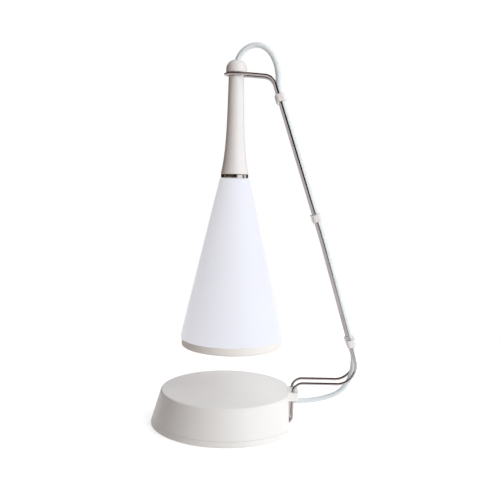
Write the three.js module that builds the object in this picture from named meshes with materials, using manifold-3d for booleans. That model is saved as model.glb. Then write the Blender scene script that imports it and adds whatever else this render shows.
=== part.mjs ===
// A small bedside lamp. A head hangs from the hook of a bent wire arm that stands in a tapered base.
// Millimetres, +Z up. The origin is the centre of the foot pad's face, and the arm leans out along +X.
import * as THREE from 'three';
import { mergeVertices } from 'three/addons/utils/BufferGeometryUtils.js';
import Module from 'manifold-3d';

const wasm = await Module();
wasm.setup();

// Clearances and overruns that the whole lamp shares
const seatGap = 0.3;
const cutOverrun = 2;
const sameCorner = 0.0001;

// Round pieces, in sides
const wideSides = 72;
const bodySides = 40;
const smallSides = 20;
const pinSides = 12;
const cornerSteps = 2;
const wireSides = 10;
const leadSides = 8;
const bendStepAngle = Math.PI / 16;

// Base casing
const baseBottomRadius = 50;
const baseTaper = 6.8;
const baseHeight = 22.5;
const baseFlatDepth = 10.4;
const shellWall = 2.2;
const topRimRadius = 1.2;
const skirtTop = 3.6;
const plateFloor = 2;
const lipHeight = 2.8;
const lipWall = 1.6;

// Foot pad, let into the bottom plate
const padMargin = 20;
const padThickness = 1;
const padProud = 0.3;

// Base screws and their bosses
const baseScrewInset = 12;
const baseScrewAngle = Math.PI / 4;
const screwShank = 1.2;
const screwHeadRadius = 2.4;
const screwHeadHeight = 1.4;
const bossWall = 1.6;
const bossScrewDepth = 8;

// Steel weight
const ballastMargin = 19;
const ballastThickness = 4;
const ballastBoardGap = 2;
const ballastScrewInset = 4;
const ballastScrewY = -3;
const ballastScrewBite = 1.2;

// Battery
const batteryMargin = 28;
const batteryWidth = 34;
const batteryHeight = 6;
const batteryBoardGap = 9;
const batteryCorner = 2.5;

// Circuit board and what stands on it
const boardLength = 32;
const boardWidth = 20.5;
const boardGap = 0.5;
const boardThickness = 1.6;
const boardBottom = 7.4;
const boardPostX = 13;
const boardPostNearInset = 5;
const boardPostFarInset = 3.5;
const boardPostRadius = 2.4;
const boardScrewShank = 0.9;
const boardScrewHead = 1.9;
const boardScrewHeadHeight = 1.1;
const boardScrewLength = 5;
const chipLength = 6;
const chipWidth = 5;
const chipHeight = 1.6;
const chipGap = 1;
const socketLength = 6.4;
const socketDepth = 5;
const socketHeight = 4.2;
const socketInset = 2.6;
const leadSocketX = 6;
const batterySocketX = -6;

// Recess at the back with the power inlet and the slide switch
const recessHalfLength = 13;
const recessHeight = 7;
const recessDepth = 8;
const recessPanel = 2;
const recessCorner = 1;
const inletCentreX = -6;
const inletWidth = 8.9;
const inletHeight = 3.2;
const inletDepth = 7.3;
const inletWall = 0.35;
const inletTongueWidth = 6.7;
const inletTongueHeight = 0.7;
const inletTongueDepth = 5.6;
const switchCentreX = 6.2;
const switchLength = 9;
const switchDepth = 4;
const switchHeight = 3.6;
const sliderTravel = 2.5;
const sliderFootLength = 3.6;
const sliderFootHeight = 2;
const sliderFootDepth = 1.2;
const sliderNibLength = 2;
const sliderNibHeight = 1.6;
const sliderNibProud = 2.2;

// Arm wire
const wireRadius = 0.9;
const wireSpread = 5.9;
const legStandoff = 4.5;
const toeHeight = 1.6;
const toeReach = 6.1;
const toeBend = 4;
const lowerRunRise = 5.7;
const legBend = 6.8;
const heelX = 89.26;
const heelBend = 12;
const kneeX = 60.4;
const kneeHeight = 123.6;
const kneeBend = 300;
const shoulderX = 26.1;
const shoulderDrop = 1;
const shoulderBend = 7.5;
const hookHeight = 227.9;
const hookFlatX = 11;
const hookBend = 20;
const hookEndX = 1.9;

// Bracket on the flat
const bracketReach = 8;
const bracketHalfWidth = 8.4;
const bracketDrop = 0.2;
const bracketHeight = 5.7;
const bracketCorner = 1.2;
const spineHalfWidth = 7.2;
const bracketScrewY = 4.1;
const bracketScrewDrop = 4.2;
const bracketScrewShank = 0.9;
const bracketScrewHead = 1.8;
const bracketScrewHeadHeight = 1;
const bracketScrewBite = 2.6;

// Lead and its clips
const leadRadius = 1.7;
const leadOffset = 1.3;
const armStations = 15;
const clipLength = 4.8;
const clipInner = 2.2;
const clipOuter = 3.9;
const clipHalfWidth = 7.9;
const clipCorner = 0.8;
const clipSlit = 1.2;
const clipTopDrop = 14.5;
const clipMiddleHeight = 137.2;
const clipBottomHeight = 55.5;
const latchThickness = 1;
const latchHalfWidth = 2.5;
const topLatch = 1.6;
const otherLatch = 0.5;
const grommetRadius = 2.5;
const grommetFlange = 3.2;
const grommetFlangeThickness = 0.9;
const leadEntryDrop = 7.8;
const leadStraight = 3.6;
const leadCornerRoom = 4.3;

// Head, from the cap down
const headX = 3;
const capRadius = 6.6;
const capSeat = 1.25;
const capSkirt = 2.2;
const capCrown = 6;
const capEdge = 0.5;
const stemRadius = 2.1;
const stemBore = 1.5;
const stemInCap = 4;
const stemBelowNut = 0.8;
const nutRadius = 3.15;
const nutHeight = 2.4;
const neckTopRadius = 5.05;
const neckGrooveRadius = 4.65;
const neckGrooveDepth = 2.4;
const neckTopWall = 3;
const neckWall = 1.6;
const neckBottomRadius = 9.3;
const neckBottom = 164.75;
const neckFlareShare = 0.3;
const neckFlarePower = 4.3;
const neckRings = 9;
const spigotRadius = 7.5;
const spigotWall = 1.3;
const spigotLength = 6.4;
const trimRadius = 9.15;
const trimHeight = 2.3;
const coneTopRadius = 9.8;
const coneBottomRadius = 33.75;
const coneBottom = 57.9;
const coneWall = 1.6;
const coneFlange = 2;
const coneEdge = 1;
const ringRadius = 33.2;
const ringHeight = 5.2;
const ringEdge = 1.2;
const ringWall = 2.2;
const ringLip = 4;
const ringLedge = 1.2;
const ledgeReach = 2;
const lensThickness = 1.6;

// Light source inside the head
const carrierFlange = 7.9;
const carrierFlangeThickness = 1.4;
const carrierStub = 7;
const carrierBore = 1.6;
const ledBoardRadius = 7.6;
const ledBoardThickness = 1.2;
const ledCircle = 5;
const ledSide = 3;
const ledHeight = 0.8;
const ledCount = 4;
const ledScrewCircle = 3.6;
const ledScrewShank = 0.8;
const ledScrewHead = 1.5;
const ledScrewHeadHeight = 0.8;
const ledScrewLength = 5;
const coreRadius = 0.5;
const coreOffset = 0.7;

// Places that follow from the sizes above
const plateBottom = padProud;
const baseTopRadius = baseBottomRadius - baseTaper;
const baseFlatX = baseBottomRadius - baseFlatDepth;
const padTop = padThickness;
const padRadius = baseBottomRadius - padMargin;
const baseScrewCircle = baseBottomRadius - baseScrewInset;
const ballastRadius = baseBottomRadius - ballastMargin;
const batteryLength = 2 * (baseBottomRadius - batteryMargin);
const recessFaceY = baseBottomRadius - recessDepth;
const boardFarY = recessFaceY - recessPanel - boardGap;
const boardNearY = boardFarY - boardWidth;
const boardCentreY = (boardNearY + boardFarY) / 2;
const ballastChordY = boardNearY - ballastBoardGap;
const socketNearY = boardNearY + socketInset;
const batteryFaceY = boardNearY - batteryBoardGap;
const batteryCentreY = batteryFaceY - batteryWidth / 2;
const legX = baseFlatX + legStandoff;
const toeInnerX = baseFlatX - toeReach;
const lowerRunHeight = baseHeight + lowerRunRise;
const shoulderHeight = hookHeight - shoulderDrop;
const clipTopHeight = hookHeight - clipTopDrop;
const bracketTop = baseHeight - bracketDrop;
const bracketBottom = bracketTop - bracketHeight;
const bracketScrewHeight = bracketTop - bracketScrewDrop;
const leadEntryHeight = baseHeight - leadEntryDrop;
const spineBottom = toeHeight + toeBend + seatGap;
const floorTop = padTop + seatGap + plateFloor;
const shellBottom = skirtTop + seatGap;
const ceiling = baseHeight - shellWall;
const recessBottom = floorTop + lipHeight + seatGap + recessPanel;
const recessTop = recessBottom + recessHeight;
const boardTop = boardBottom + boardThickness;
const ballastBottom = floorTop + seatGap;
const ballastTop = ballastBottom + ballastThickness;
const batteryBottom = ballastTop + seatGap;
const capBottom = hookHeight + capSeat;
const neckTop = capBottom - seatGap;
const neckCeiling = neckTop - neckTopWall;
const nutTop = neckCeiling - seatGap;
const stemBottom = nutTop - nutHeight - stemBelowNut;
const trimTop = neckBottom - seatGap;
const coneTop = trimTop - trimHeight - seatGap;
const spigotBottom = neckBottom - spigotLength;
const ringTop = coneBottom - seatGap;
const ringBottom = ringTop - ringHeight;
const lensBottom = ringBottom + ringLedge + seatGap;
const carrierTop = spigotBottom - seatGap + carrierStub;
const flangeBottom = spigotBottom - seatGap - carrierFlangeThickness;
const ledBoardBottom = flangeBottom - seatGap - ledBoardThickness;

// The lead's arch from the cap to the top clip, chosen by hand as shares of the way across and up
const archShares = [
  [0.003, 0.987], [0.009, 1.081], [0.035, 1.227], [0.09, 1.373], [0.153, 1.482], [0.236, 1.581],
  [0.337, 1.649], [0.445, 1.675], [0.563, 1.639], [0.671, 1.545], [0.768, 1.394], [0.841, 1.206],
  [0.893, 0.982], [0.925, 0.731], [0.935, 0.481], [0.949, 0.241],
];

// The lead's slack below the bottom clip, chosen by hand as shares of the way from the bracket
const slackShares = [
  [1.025, 0.928], [1.042, 0.857], [1.055, 0.76], [1.057, 0.639], [1.039, 0.508], [0.999, 0.386],
  [0.934, 0.277], [0.847, 0.192], [0.739, 0.129], [0.626, 0.087], [0.512, 0.056], [0.396, 0.032],
  [0.279, 0.017], [0.163, 0.007],
];

// The lead inside the base, as shares across, along and down: from the wall to the battery's corner,
// and from there to the lead's socket
const innerShares = [[0, 0, 0], [0.3, 0.09, 0.04], [0.6, 0.32, 0.15], [0.86, 0.63, 0.3]];
const socketShares = [[0.33, 0.03, 0.8], [0.65, 0.1, 0.95], [0.87, 0.3, 1], [0.98, 0.62, 1], [1, 1, 1]];

// The battery's two wires: steps sideways, shares of the way to their socket, and shares of its height
const batteryWireShares = [
  [0, 0.03, 0.9], [-0.04, 0.18, 0.94], [0.02, 0.37, 0.97], [0.01, 0.6, 0.98], [0, 0.87, 1], [0, 1, 1],
];
const batteryWireSpacing = 2.4;

// Gives a geometry one set of shared corners and faces that point out
function closed(geometry) {
  const bare = geometry.index ? geometry.toNonIndexed() : geometry.clone();
  bare.deleteAttribute('normal');
  bare.deleteAttribute('uv');
  const merged = mergeVertices(bare, sameCorner);
  const place = merged.getAttribute('position');
  const kept = [];
  let volume = 0;
  const [a, b, c] = [new THREE.Vector3(), new THREE.Vector3(), new THREE.Vector3()];
  for (let i = 0; i < merged.index.count; i += 3) {
    const corners = [merged.index.getX(i), merged.index.getX(i + 1), merged.index.getX(i + 2)];
    if (new Set(corners).size < corners.length) continue;
    a.fromBufferAttribute(place, corners[0]);
    b.fromBufferAttribute(place, corners[1]);
    c.fromBufferAttribute(place, corners[2]);
    volume += a.dot(b.cross(c));
    kept.push(...corners);
  }
  if (volume < 0) kept.reverse();
  merged.setIndex(kept);
  return merged;
}

function toSolid(geometry) {
  const merged = closed(geometry);
  const vertProperties = new Float32Array(merged.getAttribute('position').array);
  const triVerts = new Uint32Array(merged.index.array);
  return new wasm.Manifold(new wasm.Mesh({ numProp: 3, vertProperties, triVerts }));
}

function toGeometry(solid) {
  const mesh = solid.getMesh();
  const geometry = new THREE.BufferGeometry();
  geometry.setAttribute('position', new THREE.BufferAttribute(new Float32Array(mesh.vertProperties), 3));
  geometry.setIndex(new THREE.BufferAttribute(new Uint32Array(mesh.triVerts), 1));
  return geometry;
}

function cut(geometry, ...tools) {
  let solid = toSolid(geometry);
  for (const tool of tools) solid = solid.subtract(toSolid(tool));
  return toGeometry(solid);
}

function join(...geometries) {
  let solid = toSolid(geometries[0]);
  for (const next of geometries.slice(1)) solid = solid.add(toSolid(next));
  return toGeometry(solid);
}

// Turns a profile of [radius, height] points around the Z axis
function turned(profile, sides) {
  const points = profile.map(([radius, height]) => new THREE.Vector2(radius, height));
  const geometry = new THREE.LatheGeometry(points, sides);
  geometry.rotateX(Math.PI / 2);
  return geometry;
}

// A quarter round from one angle to another, as profile points
function arcPoints(centreX, centreY, radiusX, radiusY, from, to, steps) {
  const points = [];
  for (let i = 0; i <= steps; i += 1) {
    const angle = from + (to - from) * i / steps;
    points.push([centreX + radiusX * Math.cos(angle), centreY + radiusY * Math.sin(angle)]);
  }
  return points;
}

// A box between two corners
function block(low, high) {
  const size = high.map((value, i) => value - low[i]);
  const geometry = new THREE.BoxGeometry(...size);
  geometry.translate(...size.map((value, i) => low[i] + value / 2));
  return geometry;
}

// A box of a size around its centre
function boxAt(size, centre) {
  return block(size.map((value, i) => centre[i] - value / 2), size.map((value, i) => centre[i] + value / 2));
}

// A flat plate of an outline drawn in X and Y
function plate(shape, bottom, top, curveSegments = cornerSteps) {
  const depth = top - bottom;
  const geometry = new THREE.ExtrudeGeometry(shape, { depth, bevelEnabled: false, curveSegments });
  geometry.translate(0, 0, bottom);
  return geometry;
}

// A round bar on the Z axis
function bar(radius, bottom, top, sides) {
  const geometry = new THREE.CylinderGeometry(radius, radius, top - bottom, sides);
  geometry.rotateX(Math.PI / 2);
  geometry.translate(0, 0, (bottom + top) / 2);
  return geometry;
}

// A thin upright bar at a place
function pinAt(radius, bottom, top, [x, y]) {
  return moved(bar(radius, bottom, top, pinSides), x, y, 0);
}

// A round bar along the X axis at a given Y and Z
function barAlongX(radius, fromX, toX, y, z, sides) {
  const geometry = bar(radius, fromX, toX, sides);
  geometry.rotateY(Math.PI / 2);
  geometry.translate(0, y, z);
  return geometry;
}

function moved(geometry, x, y, z) {
  const copy = geometry.clone();
  copy.translate(x, y, z);
  return copy;
}

// A rectangle with round corners, centred
function roundedRectangle(halfX, halfY, corner) {
  const shape = new THREE.Shape();
  shape.absarc(halfX - corner, halfY - corner, corner, 0, Math.PI / 2);
  shape.absarc(corner - halfX, halfY - corner, corner, Math.PI / 2, Math.PI);
  shape.absarc(corner - halfX, corner - halfY, corner, Math.PI, 1.5 * Math.PI);
  shape.absarc(halfX - corner, corner - halfY, corner, 1.5 * Math.PI, 2 * Math.PI);
  shape.closePath();
  return shape;
}

function polygon(points) {
  return new THREE.Shape(points.map(([x, y]) => new THREE.Vector2(x, y)));
}

// A round section along a path
function tube(path, radius, sides, steps) {
  const section = polygon(arcPoints(0, 0, radius, radius, 0, 2 * Math.PI, sides).slice(0, -1));
  return new THREE.ExtrudeGeometry(section, { steps, bevelEnabled: false, extrudePath: path });
}

function leadTube(points, radius, spacing) {
  const path = new THREE.CatmullRomCurve3(points.map((point) => new THREE.Vector3(...point)));
  return tube(path, radius, leadSides, Math.round(path.getLength() / spacing));
}

function archTube(radius) {
  return leadTube(archPoints(), radius, 2 * leadRadius);
}

// A path read at its own stations, so that a straight run takes one step and a bend takes many
class StationPath extends THREE.Curve {
  constructor(stations) {
    super();
    this.stations = stations;
  }

  getPoint(t, target = new THREE.Vector3()) {
    const along = t * (this.stations.length - 1);
    const index = Math.min(Math.floor(along + 1e-6), this.stations.length - 2);
    return target.copy(this.stations[index]).lerp(this.stations[index + 1], along - index);
  }

  getPointAt(u, target) {
    return this.getPoint(u, target);
  }

  getTangentAt(u, target = new THREE.Vector3()) {
    const last = this.stations.length - 1;
    const index = Math.round(u * last);
    const before = this.stations[Math.max(index - 1, 0)];
    const after = this.stations[Math.min(index + 1, last)];
    const here = this.stations[index];
    const incoming = new THREE.Vector3().subVectors(here, before).normalize();
    const outgoing = new THREE.Vector3().subVectors(after, here).normalize();
    return target.addVectors(incoming, outgoing).normalize();
  }
}

// Rounds the corners of a line of [x, z, bend radius] corners and gives its points in X and Z
function bentLine(corners) {
  const points = corners.map(([x, z]) => new THREE.Vector2(x, z));
  const line = [points[0]];
  for (let i = 1; i < corners.length - 1; i += 1) {
    const back = new THREE.Vector2().subVectors(points[i - 1], points[i]).normalize();
    const ahead = new THREE.Vector2().subVectors(points[i + 1], points[i]).normalize();
    const turn = Math.PI - Math.acos(back.dot(ahead));
    const radius = corners[i][2];
    const reach = radius * Math.tan(turn / 2);
    const start = points[i].clone().addScaledVector(back, reach);
    const inward = back.clone().add(ahead).normalize();
    const centre = points[i].clone().addScaledVector(inward, radius / Math.cos(turn / 2));
    const side = Math.sign(-back.cross(ahead));
    const steps = Math.max(1, Math.ceil(turn / bendStepAngle));
    for (let step = 0; step <= steps; step += 1) {
      line.push(start.clone().rotateAround(centre, side * turn * step / steps));
    }
  }
  line.push(points[points.length - 1]);
  return line;
}

const palette = {
  glossWhite: [0xf2efec, 0.25, 0],
  cream: [0xeae4dc, 0.35, 0],
  milky: [0xf0f2f8, 0.45, 0],
  steel: [0xb9b2ac, 0.18, 1],
  chrome: [0xd8d6d0, 0.06, 1],
  zinc: [0xa9a9a6, 0.35, 1],
  iron: [0x6f7072, 0.6, 1],
  aluminium: [0xc4c6c8, 0.4, 1],
  lead: [0xe4eef2, 0.3, 0],
  rubber: [0x8c8c8c, 0.85, 0],
  boardGreen: [0x2f6b45, 0.5, 0],
  boardWhite: [0xf4f4f0, 0.5, 0],
  blackPlastic: [0x1d1d1f, 0.5, 0],
  nylon: [0xefefec, 0.45, 0],
  foil: [0xb7babd, 0.4, 0.6],
  phosphor: [0xf3e08a, 0.6, 0],
  redWire: [0xb8322c, 0.5, 0],
};

const lamp = new THREE.Group();

function add(name, geometry, finish, parent = lamp) {
  const [color, roughness, metalness] = palette[finish];
  const material = new THREE.MeshStandardMaterial({ color, roughness, metalness });
  const mesh = new THREE.Mesh(closed(geometry), material);
  mesh.name = name;
  parent.add(mesh);
  return mesh;
}

// Base

function casingRadius(height) {
  return baseBottomRadius - (baseBottomRadius - baseTopRadius) * height / baseHeight;
}

// Everything beyond a plane that faces the arm
function beyondFlat(x) {
  return block([x, -baseBottomRadius, -cutOverrun], [baseBottomRadius + cutOverrun, baseBottomRadius,
    baseHeight + cutOverrun]);
}

// A tapered disc with one flat side, taken in all round by a margin
function taperedDisc(margin, bottom, top) {
  const profile = [[0, bottom], [casingRadius(bottom) - margin, bottom],
    [casingRadius(top) - margin, top], [0, top]];
  return cut(turned(profile, wideSides), beyondFlat(baseFlatX - margin));
}

function casingOuter() {
  const rimSide = casingRadius(baseHeight - topRimRadius);
  const profile = [[0, shellBottom], [casingRadius(shellBottom), shellBottom],
    ...arcPoints(rimSide - topRimRadius, baseHeight - topRimRadius, topRimRadius, topRimRadius,
      0, Math.PI / 2, 4),
    [0, baseHeight]];
  return cut(turned(profile, wideSides), beyondFlat(baseFlatX));
}

function baseScrewPlaces() {
  return [1, 3, 5, 7].map((odd) => [
    baseScrewCircle * Math.cos(odd * baseScrewAngle), baseScrewCircle * Math.sin(odd * baseScrewAngle),
  ]);
}

function baseShell() {
  const hollow = taperedDisc(shellWall, shellBottom - cutOverrun, ceiling);
  const bossBottom = floorTop + seatGap;
  const bosses = baseScrewPlaces().map((place) =>
    pinAt(screwShank + bossWall, bossBottom, ceiling + seatGap, place));
  const frameHalf = recessHalfLength + recessPanel;
  const frame = block([-frameHalf, recessFaceY - recessPanel, recessBottom - recessPanel],
    [frameHalf, baseBottomRadius, ceiling + seatGap]);
  const casing = toSolid(casingOuter());
  const framed = toSolid(frame).intersect(casing);
  let shell = casing.subtract(toSolid(hollow)).add(framed);
  for (const boss of bosses) shell = shell.add(toSolid(boss));
  const pilots = baseScrewPlaces().map((place) =>
    pinAt(screwShank + seatGap, bossBottom - cutOverrun, bossBottom + bossScrewDepth, place));
  const windows = [recessTool(), inletWindow(), sliderWindow(), grommetHole()];
  return cut(toGeometry(shell), ...windows, ...bracketScrewHoles(), ...pilots);
}

function recessTool() {
  const halfHeight = (recessTop - recessBottom) / 2;
  const outline = roundedRectangle(recessHalfLength, halfHeight, recessCorner);
  const tool = plate(outline, 0, baseBottomRadius - recessFaceY);
  tool.rotateX(Math.PI / 2);
  tool.translate(0, baseBottomRadius, recessBottom + halfHeight);
  return tool;
}

function inletOutline(margin) {
  const halfHeight = inletHeight / 2 + margin;
  return roundedRectangle(inletWidth / 2 + margin, halfHeight, halfHeight * 0.96);
}

// A solid of an outline in X and Z that runs between two Y values
function alongY(shape, fromY, toY, x, z) {
  const geometry = plate(shape, 0, toY - fromY);
  geometry.rotateX(Math.PI / 2);
  geometry.translate(x, toY, z);
  return geometry;
}

const inletCentreZ = boardTop + seatGap + inletHeight / 2;
const switchCentreZ = boardTop + seatGap + switchHeight / 2;
const inletFrontY = recessFaceY - seatGap;
const switchFrontY = recessFaceY - recessPanel - seatGap;
const sliderX = switchCentreX - sliderTravel / 2;

function inletWindow() {
  return alongY(inletOutline(seatGap), recessFaceY - recessPanel - cutOverrun, recessFaceY + cutOverrun,
    inletCentreX, inletCentreZ);
}

function sliderWindow() {
  const half = (sliderNibLength + sliderTravel) / 2 + seatGap;
  const halfHeight = sliderNibHeight / 2 + seatGap;
  return block([switchCentreX - half, recessFaceY - recessPanel - cutOverrun, switchCentreZ - halfHeight],
    [switchCentreX + half, recessFaceY + cutOverrun, switchCentreZ + halfHeight]);
}

function grommetHole() {
  return barAlongX(grommetRadius + seatGap, baseFlatX - shellWall - cutOverrun, baseFlatX + cutOverrun,
    0, leadEntryHeight, smallSides);
}

function bracketScrewHoles() {
  return [-1, 1].map((side) => barAlongX(bracketScrewShank + seatGap, baseFlatX - shellWall - cutOverrun,
    baseFlatX + cutOverrun, side * bracketScrewY, bracketScrewHeight, pinSides));
}

// The bottom plate has a raised lip, a pad recess, posts for the board and grooves for the toes
function bottomPlate() {
  const disc = taperedDisc(0, plateBottom, skirtTop);
  const lipMargin = shellWall + seatGap;
  const lip = cut(taperedDisc(lipMargin, floorTop - seatGap, floorTop + lipHeight),
    taperedDisc(lipMargin + lipWall, floorTop - cutOverrun, floorTop + lipHeight + cutOverrun));
  const above = bar(baseBottomRadius, floorTop, skirtTop + cutOverrun, wideSides);
  const posts = boardScrewPlaces().map((place) =>
    pinAt(boardPostRadius, floorTop - seatGap, boardBottom - seatGap, place));
  const toeBlockTop = toeHeight + wireRadius + seatGap + plateFloor;
  const toeBlockHalf = wireSpread + wireRadius + seatGap + lipWall;
  const toeBlock = block([toeInnerX - seatGap - lipWall, -toeBlockHalf, floorTop - seatGap],
    [baseFlatX - lipMargin, toeBlockHalf, toeBlockTop]);
  const body = join(cut(disc, above), lip, toeBlock, ...posts);
  const padRecess = bar(padRadius + seatGap, -cutOverrun, padTop + seatGap, bodySides);
  const toeGrooves = [-1, 1].map((side) => block(
    [toeInnerX - seatGap, side * wireSpread - wireRadius - seatGap, -cutOverrun],
    [baseFlatX + cutOverrun, side * wireSpread + wireRadius + seatGap, toeHeight + wireRadius + seatGap]));
  const headWayTop = plateBottom + screwHeadHeight + seatGap;
  const screwWays = baseScrewPlaces().map((place) => join(
    pinAt(screwShank + seatGap, -cutOverrun, floorTop + cutOverrun, place),
    pinAt(screwHeadRadius + seatGap, -cutOverrun, headWayTop, place)));
  const boardPilotBottom = boardTop - boardScrewLength - seatGap;
  const boardPilots = boardScrewPlaces().map((place) =>
    pinAt(boardScrewShank + seatGap, boardPilotBottom, boardBottom + cutOverrun, place));
  const ballastPilotBottom = floorTop - ballastScrewBite - seatGap;
  const ballastPilots = ballastScrewPlaces().map((place) =>
    pinAt(screwShank + seatGap, ballastPilotBottom, floorTop + cutOverrun, place));
  return cut(body, padRecess, ...toeGrooves, ...screwWays, ...boardPilots, ...ballastPilots);
}

function boardScrewPlaces() {
  const rows = [boardNearY + boardPostNearInset, boardFarY - boardPostFarInset];
  return rows.flatMap((y) => [[-boardPostX, y], [boardPostX, y]]);
}

function ballastScrewPlaces() {
  return [-1, 1].map((side) => [side * (ballastRadius - ballastScrewInset), ballastScrewY]);
}

// A pan-head screw that stands on Z = 0, its head above and its shank below, with a cross recess
function screw(shank, head, headHeight, length) {
  const crown = headHeight * 0.6;
  const profile = [[0, -length], [shank * 0.5, -length], [shank, -length + shank],
    [shank, 0], [head, 0], [head, headHeight - crown],
    ...arcPoints(0, headHeight - crown, head, crown, Math.PI / 6, Math.PI / 2, 3)];
  const half = head * 0.6;
  const slot = head * 0.13;
  const floor = headHeight * 0.45;
  const bars = [block([-half, -slot, floor], [half, slot, headHeight + cutOverrun]),
    block([-slot, -half, floor], [slot, half, headHeight + cutOverrun])];
  return cut(turned(profile, pinSides), ...bars);
}

function ballast() {
  const angle = Math.asin(ballastChordY / ballastRadius);
  const outline = new THREE.Shape();
  outline.absarc(0, 0, ballastRadius, Math.PI - angle, 2 * Math.PI + angle);
  outline.closePath();
  const holes = ballastScrewPlaces().map((place) =>
    pinAt(screwShank + seatGap, ballastBottom - cutOverrun, ballastTop + cutOverrun, place));
  return cut(plate(outline, ballastBottom, ballastTop, smallSides), ...holes);
}

function battery() {
  const cell = roundedRectangle(batteryWidth / 2, batteryHeight / 2, batteryCorner);
  const geometry = plate(cell, -batteryLength / 2, batteryLength / 2);
  geometry.rotateX(Math.PI / 2);
  geometry.rotateZ(Math.PI / 2);
  geometry.translate(0, batteryCentreY, batteryBottom + batteryHeight / 2);
  return geometry;
}

function mainBoard() {
  const outline = roundedRectangle(boardLength / 2, boardWidth / 2, recessCorner);
  const board = moved(plate(outline, boardBottom, boardTop), 0, boardCentreY, 0);
  const holes = boardScrewPlaces().map((place) =>
    pinAt(boardScrewShank + seatGap, boardBottom - cutOverrun, boardTop + cutOverrun, place));
  return cut(board, ...holes);
}

function boardPiece(length, width, height, x, y) {
  return boxAt([length, width, height], [x, y, boardTop + seatGap + height / 2]);
}

// A wire socket with a mouth on its near side
function wireSocket(x) {
  const body = boardPiece(socketLength, socketDepth, socketHeight, x, socketNearY + socketDepth / 2);
  const wall = socketHeight / 4;
  const mouthTop = boardTop + seatGap + socketHeight - wall;
  const mouth = block([x - socketLength / 2 + wall, socketNearY - cutOverrun, boardTop + seatGap + wall],
    [x + socketLength / 2 - wall, socketNearY + socketDepth / 2, mouthTop]);
  return cut(body, mouth);
}

function powerInlet() {
  const shell = cut(
    alongY(inletOutline(0), inletFrontY - inletDepth, inletFrontY, inletCentreX, inletCentreZ),
    alongY(inletOutline(-inletWall), inletFrontY - inletTongueDepth, inletFrontY + cutOverrun,
      inletCentreX, inletCentreZ));
  const backY = inletFrontY - inletDepth + inletWall;
  const frontY = inletFrontY - inletWall * 3;
  const tongue = boxAt([inletTongueWidth, frontY - backY, inletTongueHeight],
    [inletCentreX, (backY + frontY) / 2, inletCentreZ]);
  return join(shell, tongue);
}

function switchBody() {
  const centreY = switchFrontY - switchDepth / 2;
  const body = boardPiece(switchLength, switchDepth, switchHeight, switchCentreX, centreY);
  const trackLength = sliderFootLength + sliderTravel + 2 * seatGap;
  const trackHeight = sliderFootHeight + 2 * seatGap;
  const track = boxAt([trackLength, 2 * (sliderFootDepth + seatGap), trackHeight],
    [switchCentreX, switchFrontY, switchCentreZ]);
  return cut(body, track);
}

function switchSlider() {
  const foot = boxAt([sliderFootLength, sliderFootDepth, sliderFootHeight],
    [sliderX, switchFrontY - sliderFootDepth / 2, switchCentreZ]);
  const backY = switchFrontY - sliderFootDepth / 2;
  const frontY = recessFaceY + sliderNibProud;
  const nib = boxAt([sliderNibLength, frontY - backY, sliderNibHeight],
    [sliderX, (backY + frontY) / 2, switchCentreZ]);
  return join(foot, nib);
}

// Arm

function armCorners() {
  return [[toeInnerX, toeHeight], [legX, toeHeight, toeBend], [legX, lowerRunHeight, legBend],
    [heelX, lowerRunHeight, heelBend], [kneeX, kneeHeight, kneeBend],
    [shoulderX, shoulderHeight, shoulderBend], [hookFlatX, hookHeight, hookBend], [hookEndX, hookHeight]];
}

function armWire() {
  const side = bentLine(armCorners());
  const near = side.map((point) => new THREE.Vector3(point.x, -wireSpread, point.y));
  const far = side.map((point) => new THREE.Vector3(point.x, wireSpread, point.y)).reverse();
  const steps = Math.round(Math.PI / bendStepAngle);
  const loop = [];
  for (let step = 1; step < steps; step += 1) {
    const angle = -Math.PI / 2 - Math.PI * step / steps;
    const across = wireSpread * Math.sin(angle);
    loop.push(new THREE.Vector3(hookEndX + wireSpread * Math.cos(angle), across, hookHeight));
  }
  const stations = [...near, ...loop, ...far];
  return tube(new StationPath(stations), wireRadius, wireSides, stations.length - 1);
}

function armBracket() {
  const inner = baseFlatX + seatGap;
  const outline = roundedRectangle(bracketReach / 2, bracketHalfWidth, bracketCorner);
  const head = moved(plate(outline, bracketBottom, bracketTop), inner + bracketReach / 2, 0, 0);
  const spineOuter = legX - wireRadius - seatGap;
  const spine = block([inner, -spineHalfWidth, spineBottom],
    [spineOuter, spineHalfWidth, bracketBottom + seatGap]);
  const wireWays = [-1, 1].map((side) => pinAt(wireRadius + seatGap,
    bracketBottom - cutOverrun, bracketTop + cutOverrun, [legX, side * wireSpread]));
  const notchHalf = leadRadius + 2 * seatGap;
  const notch = block([inner - cutOverrun, -notchHalf, leadEntryHeight - notchHalf],
    [inner + bracketReach + cutOverrun, notchHalf, leadEntryHeight + notchHalf]);
  const screwWays = [-1, 1].map((side) => barAlongX(bracketScrewShank + seatGap, inner - cutOverrun,
    inner + bracketScrewBite + seatGap, side * bracketScrewY, bracketScrewHeight, pinSides));
  return cut(join(head, spine), ...wireWays, notch, ...screwWays);
}

// The point of the arm's upper or lower straight run at a given height, and its lean
function armPlace(height) {
  const upper = height > kneeHeight;
  const [endX, endHeight] = upper ? [shoulderX, shoulderHeight] : [heelX, lowerRunHeight];
  const slope = (endX - kneeX) / (endHeight - kneeHeight);
  return { x: kneeX + (height - kneeHeight) * slope, lean: Math.atan(slope) };
}

// The lead's centre beside the wires, level with a height on them
function leadPlace(height) {
  const { x, lean } = armPlace(height);
  return [x + leadOffset * Math.cos(lean), 0, height - leadOffset * Math.sin(lean)];
}

function archPoints() {
  const [endX, , endHeight] = leadPlace(clipTopHeight + seatGap * 0.55);
  const [inX, , inHeight] = leadPlace(clipTopHeight + clipLength / 2);
  const rise = capBottom + stemInCap - endHeight;
  const points = archShares.map(([across, up]) =>
    [headX + (endX - headX) * across, 0, endHeight + rise * up + 2 * seatGap]);
  return [...points, [inX, 0, inHeight], [endX, 0, endHeight]];
}

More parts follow.
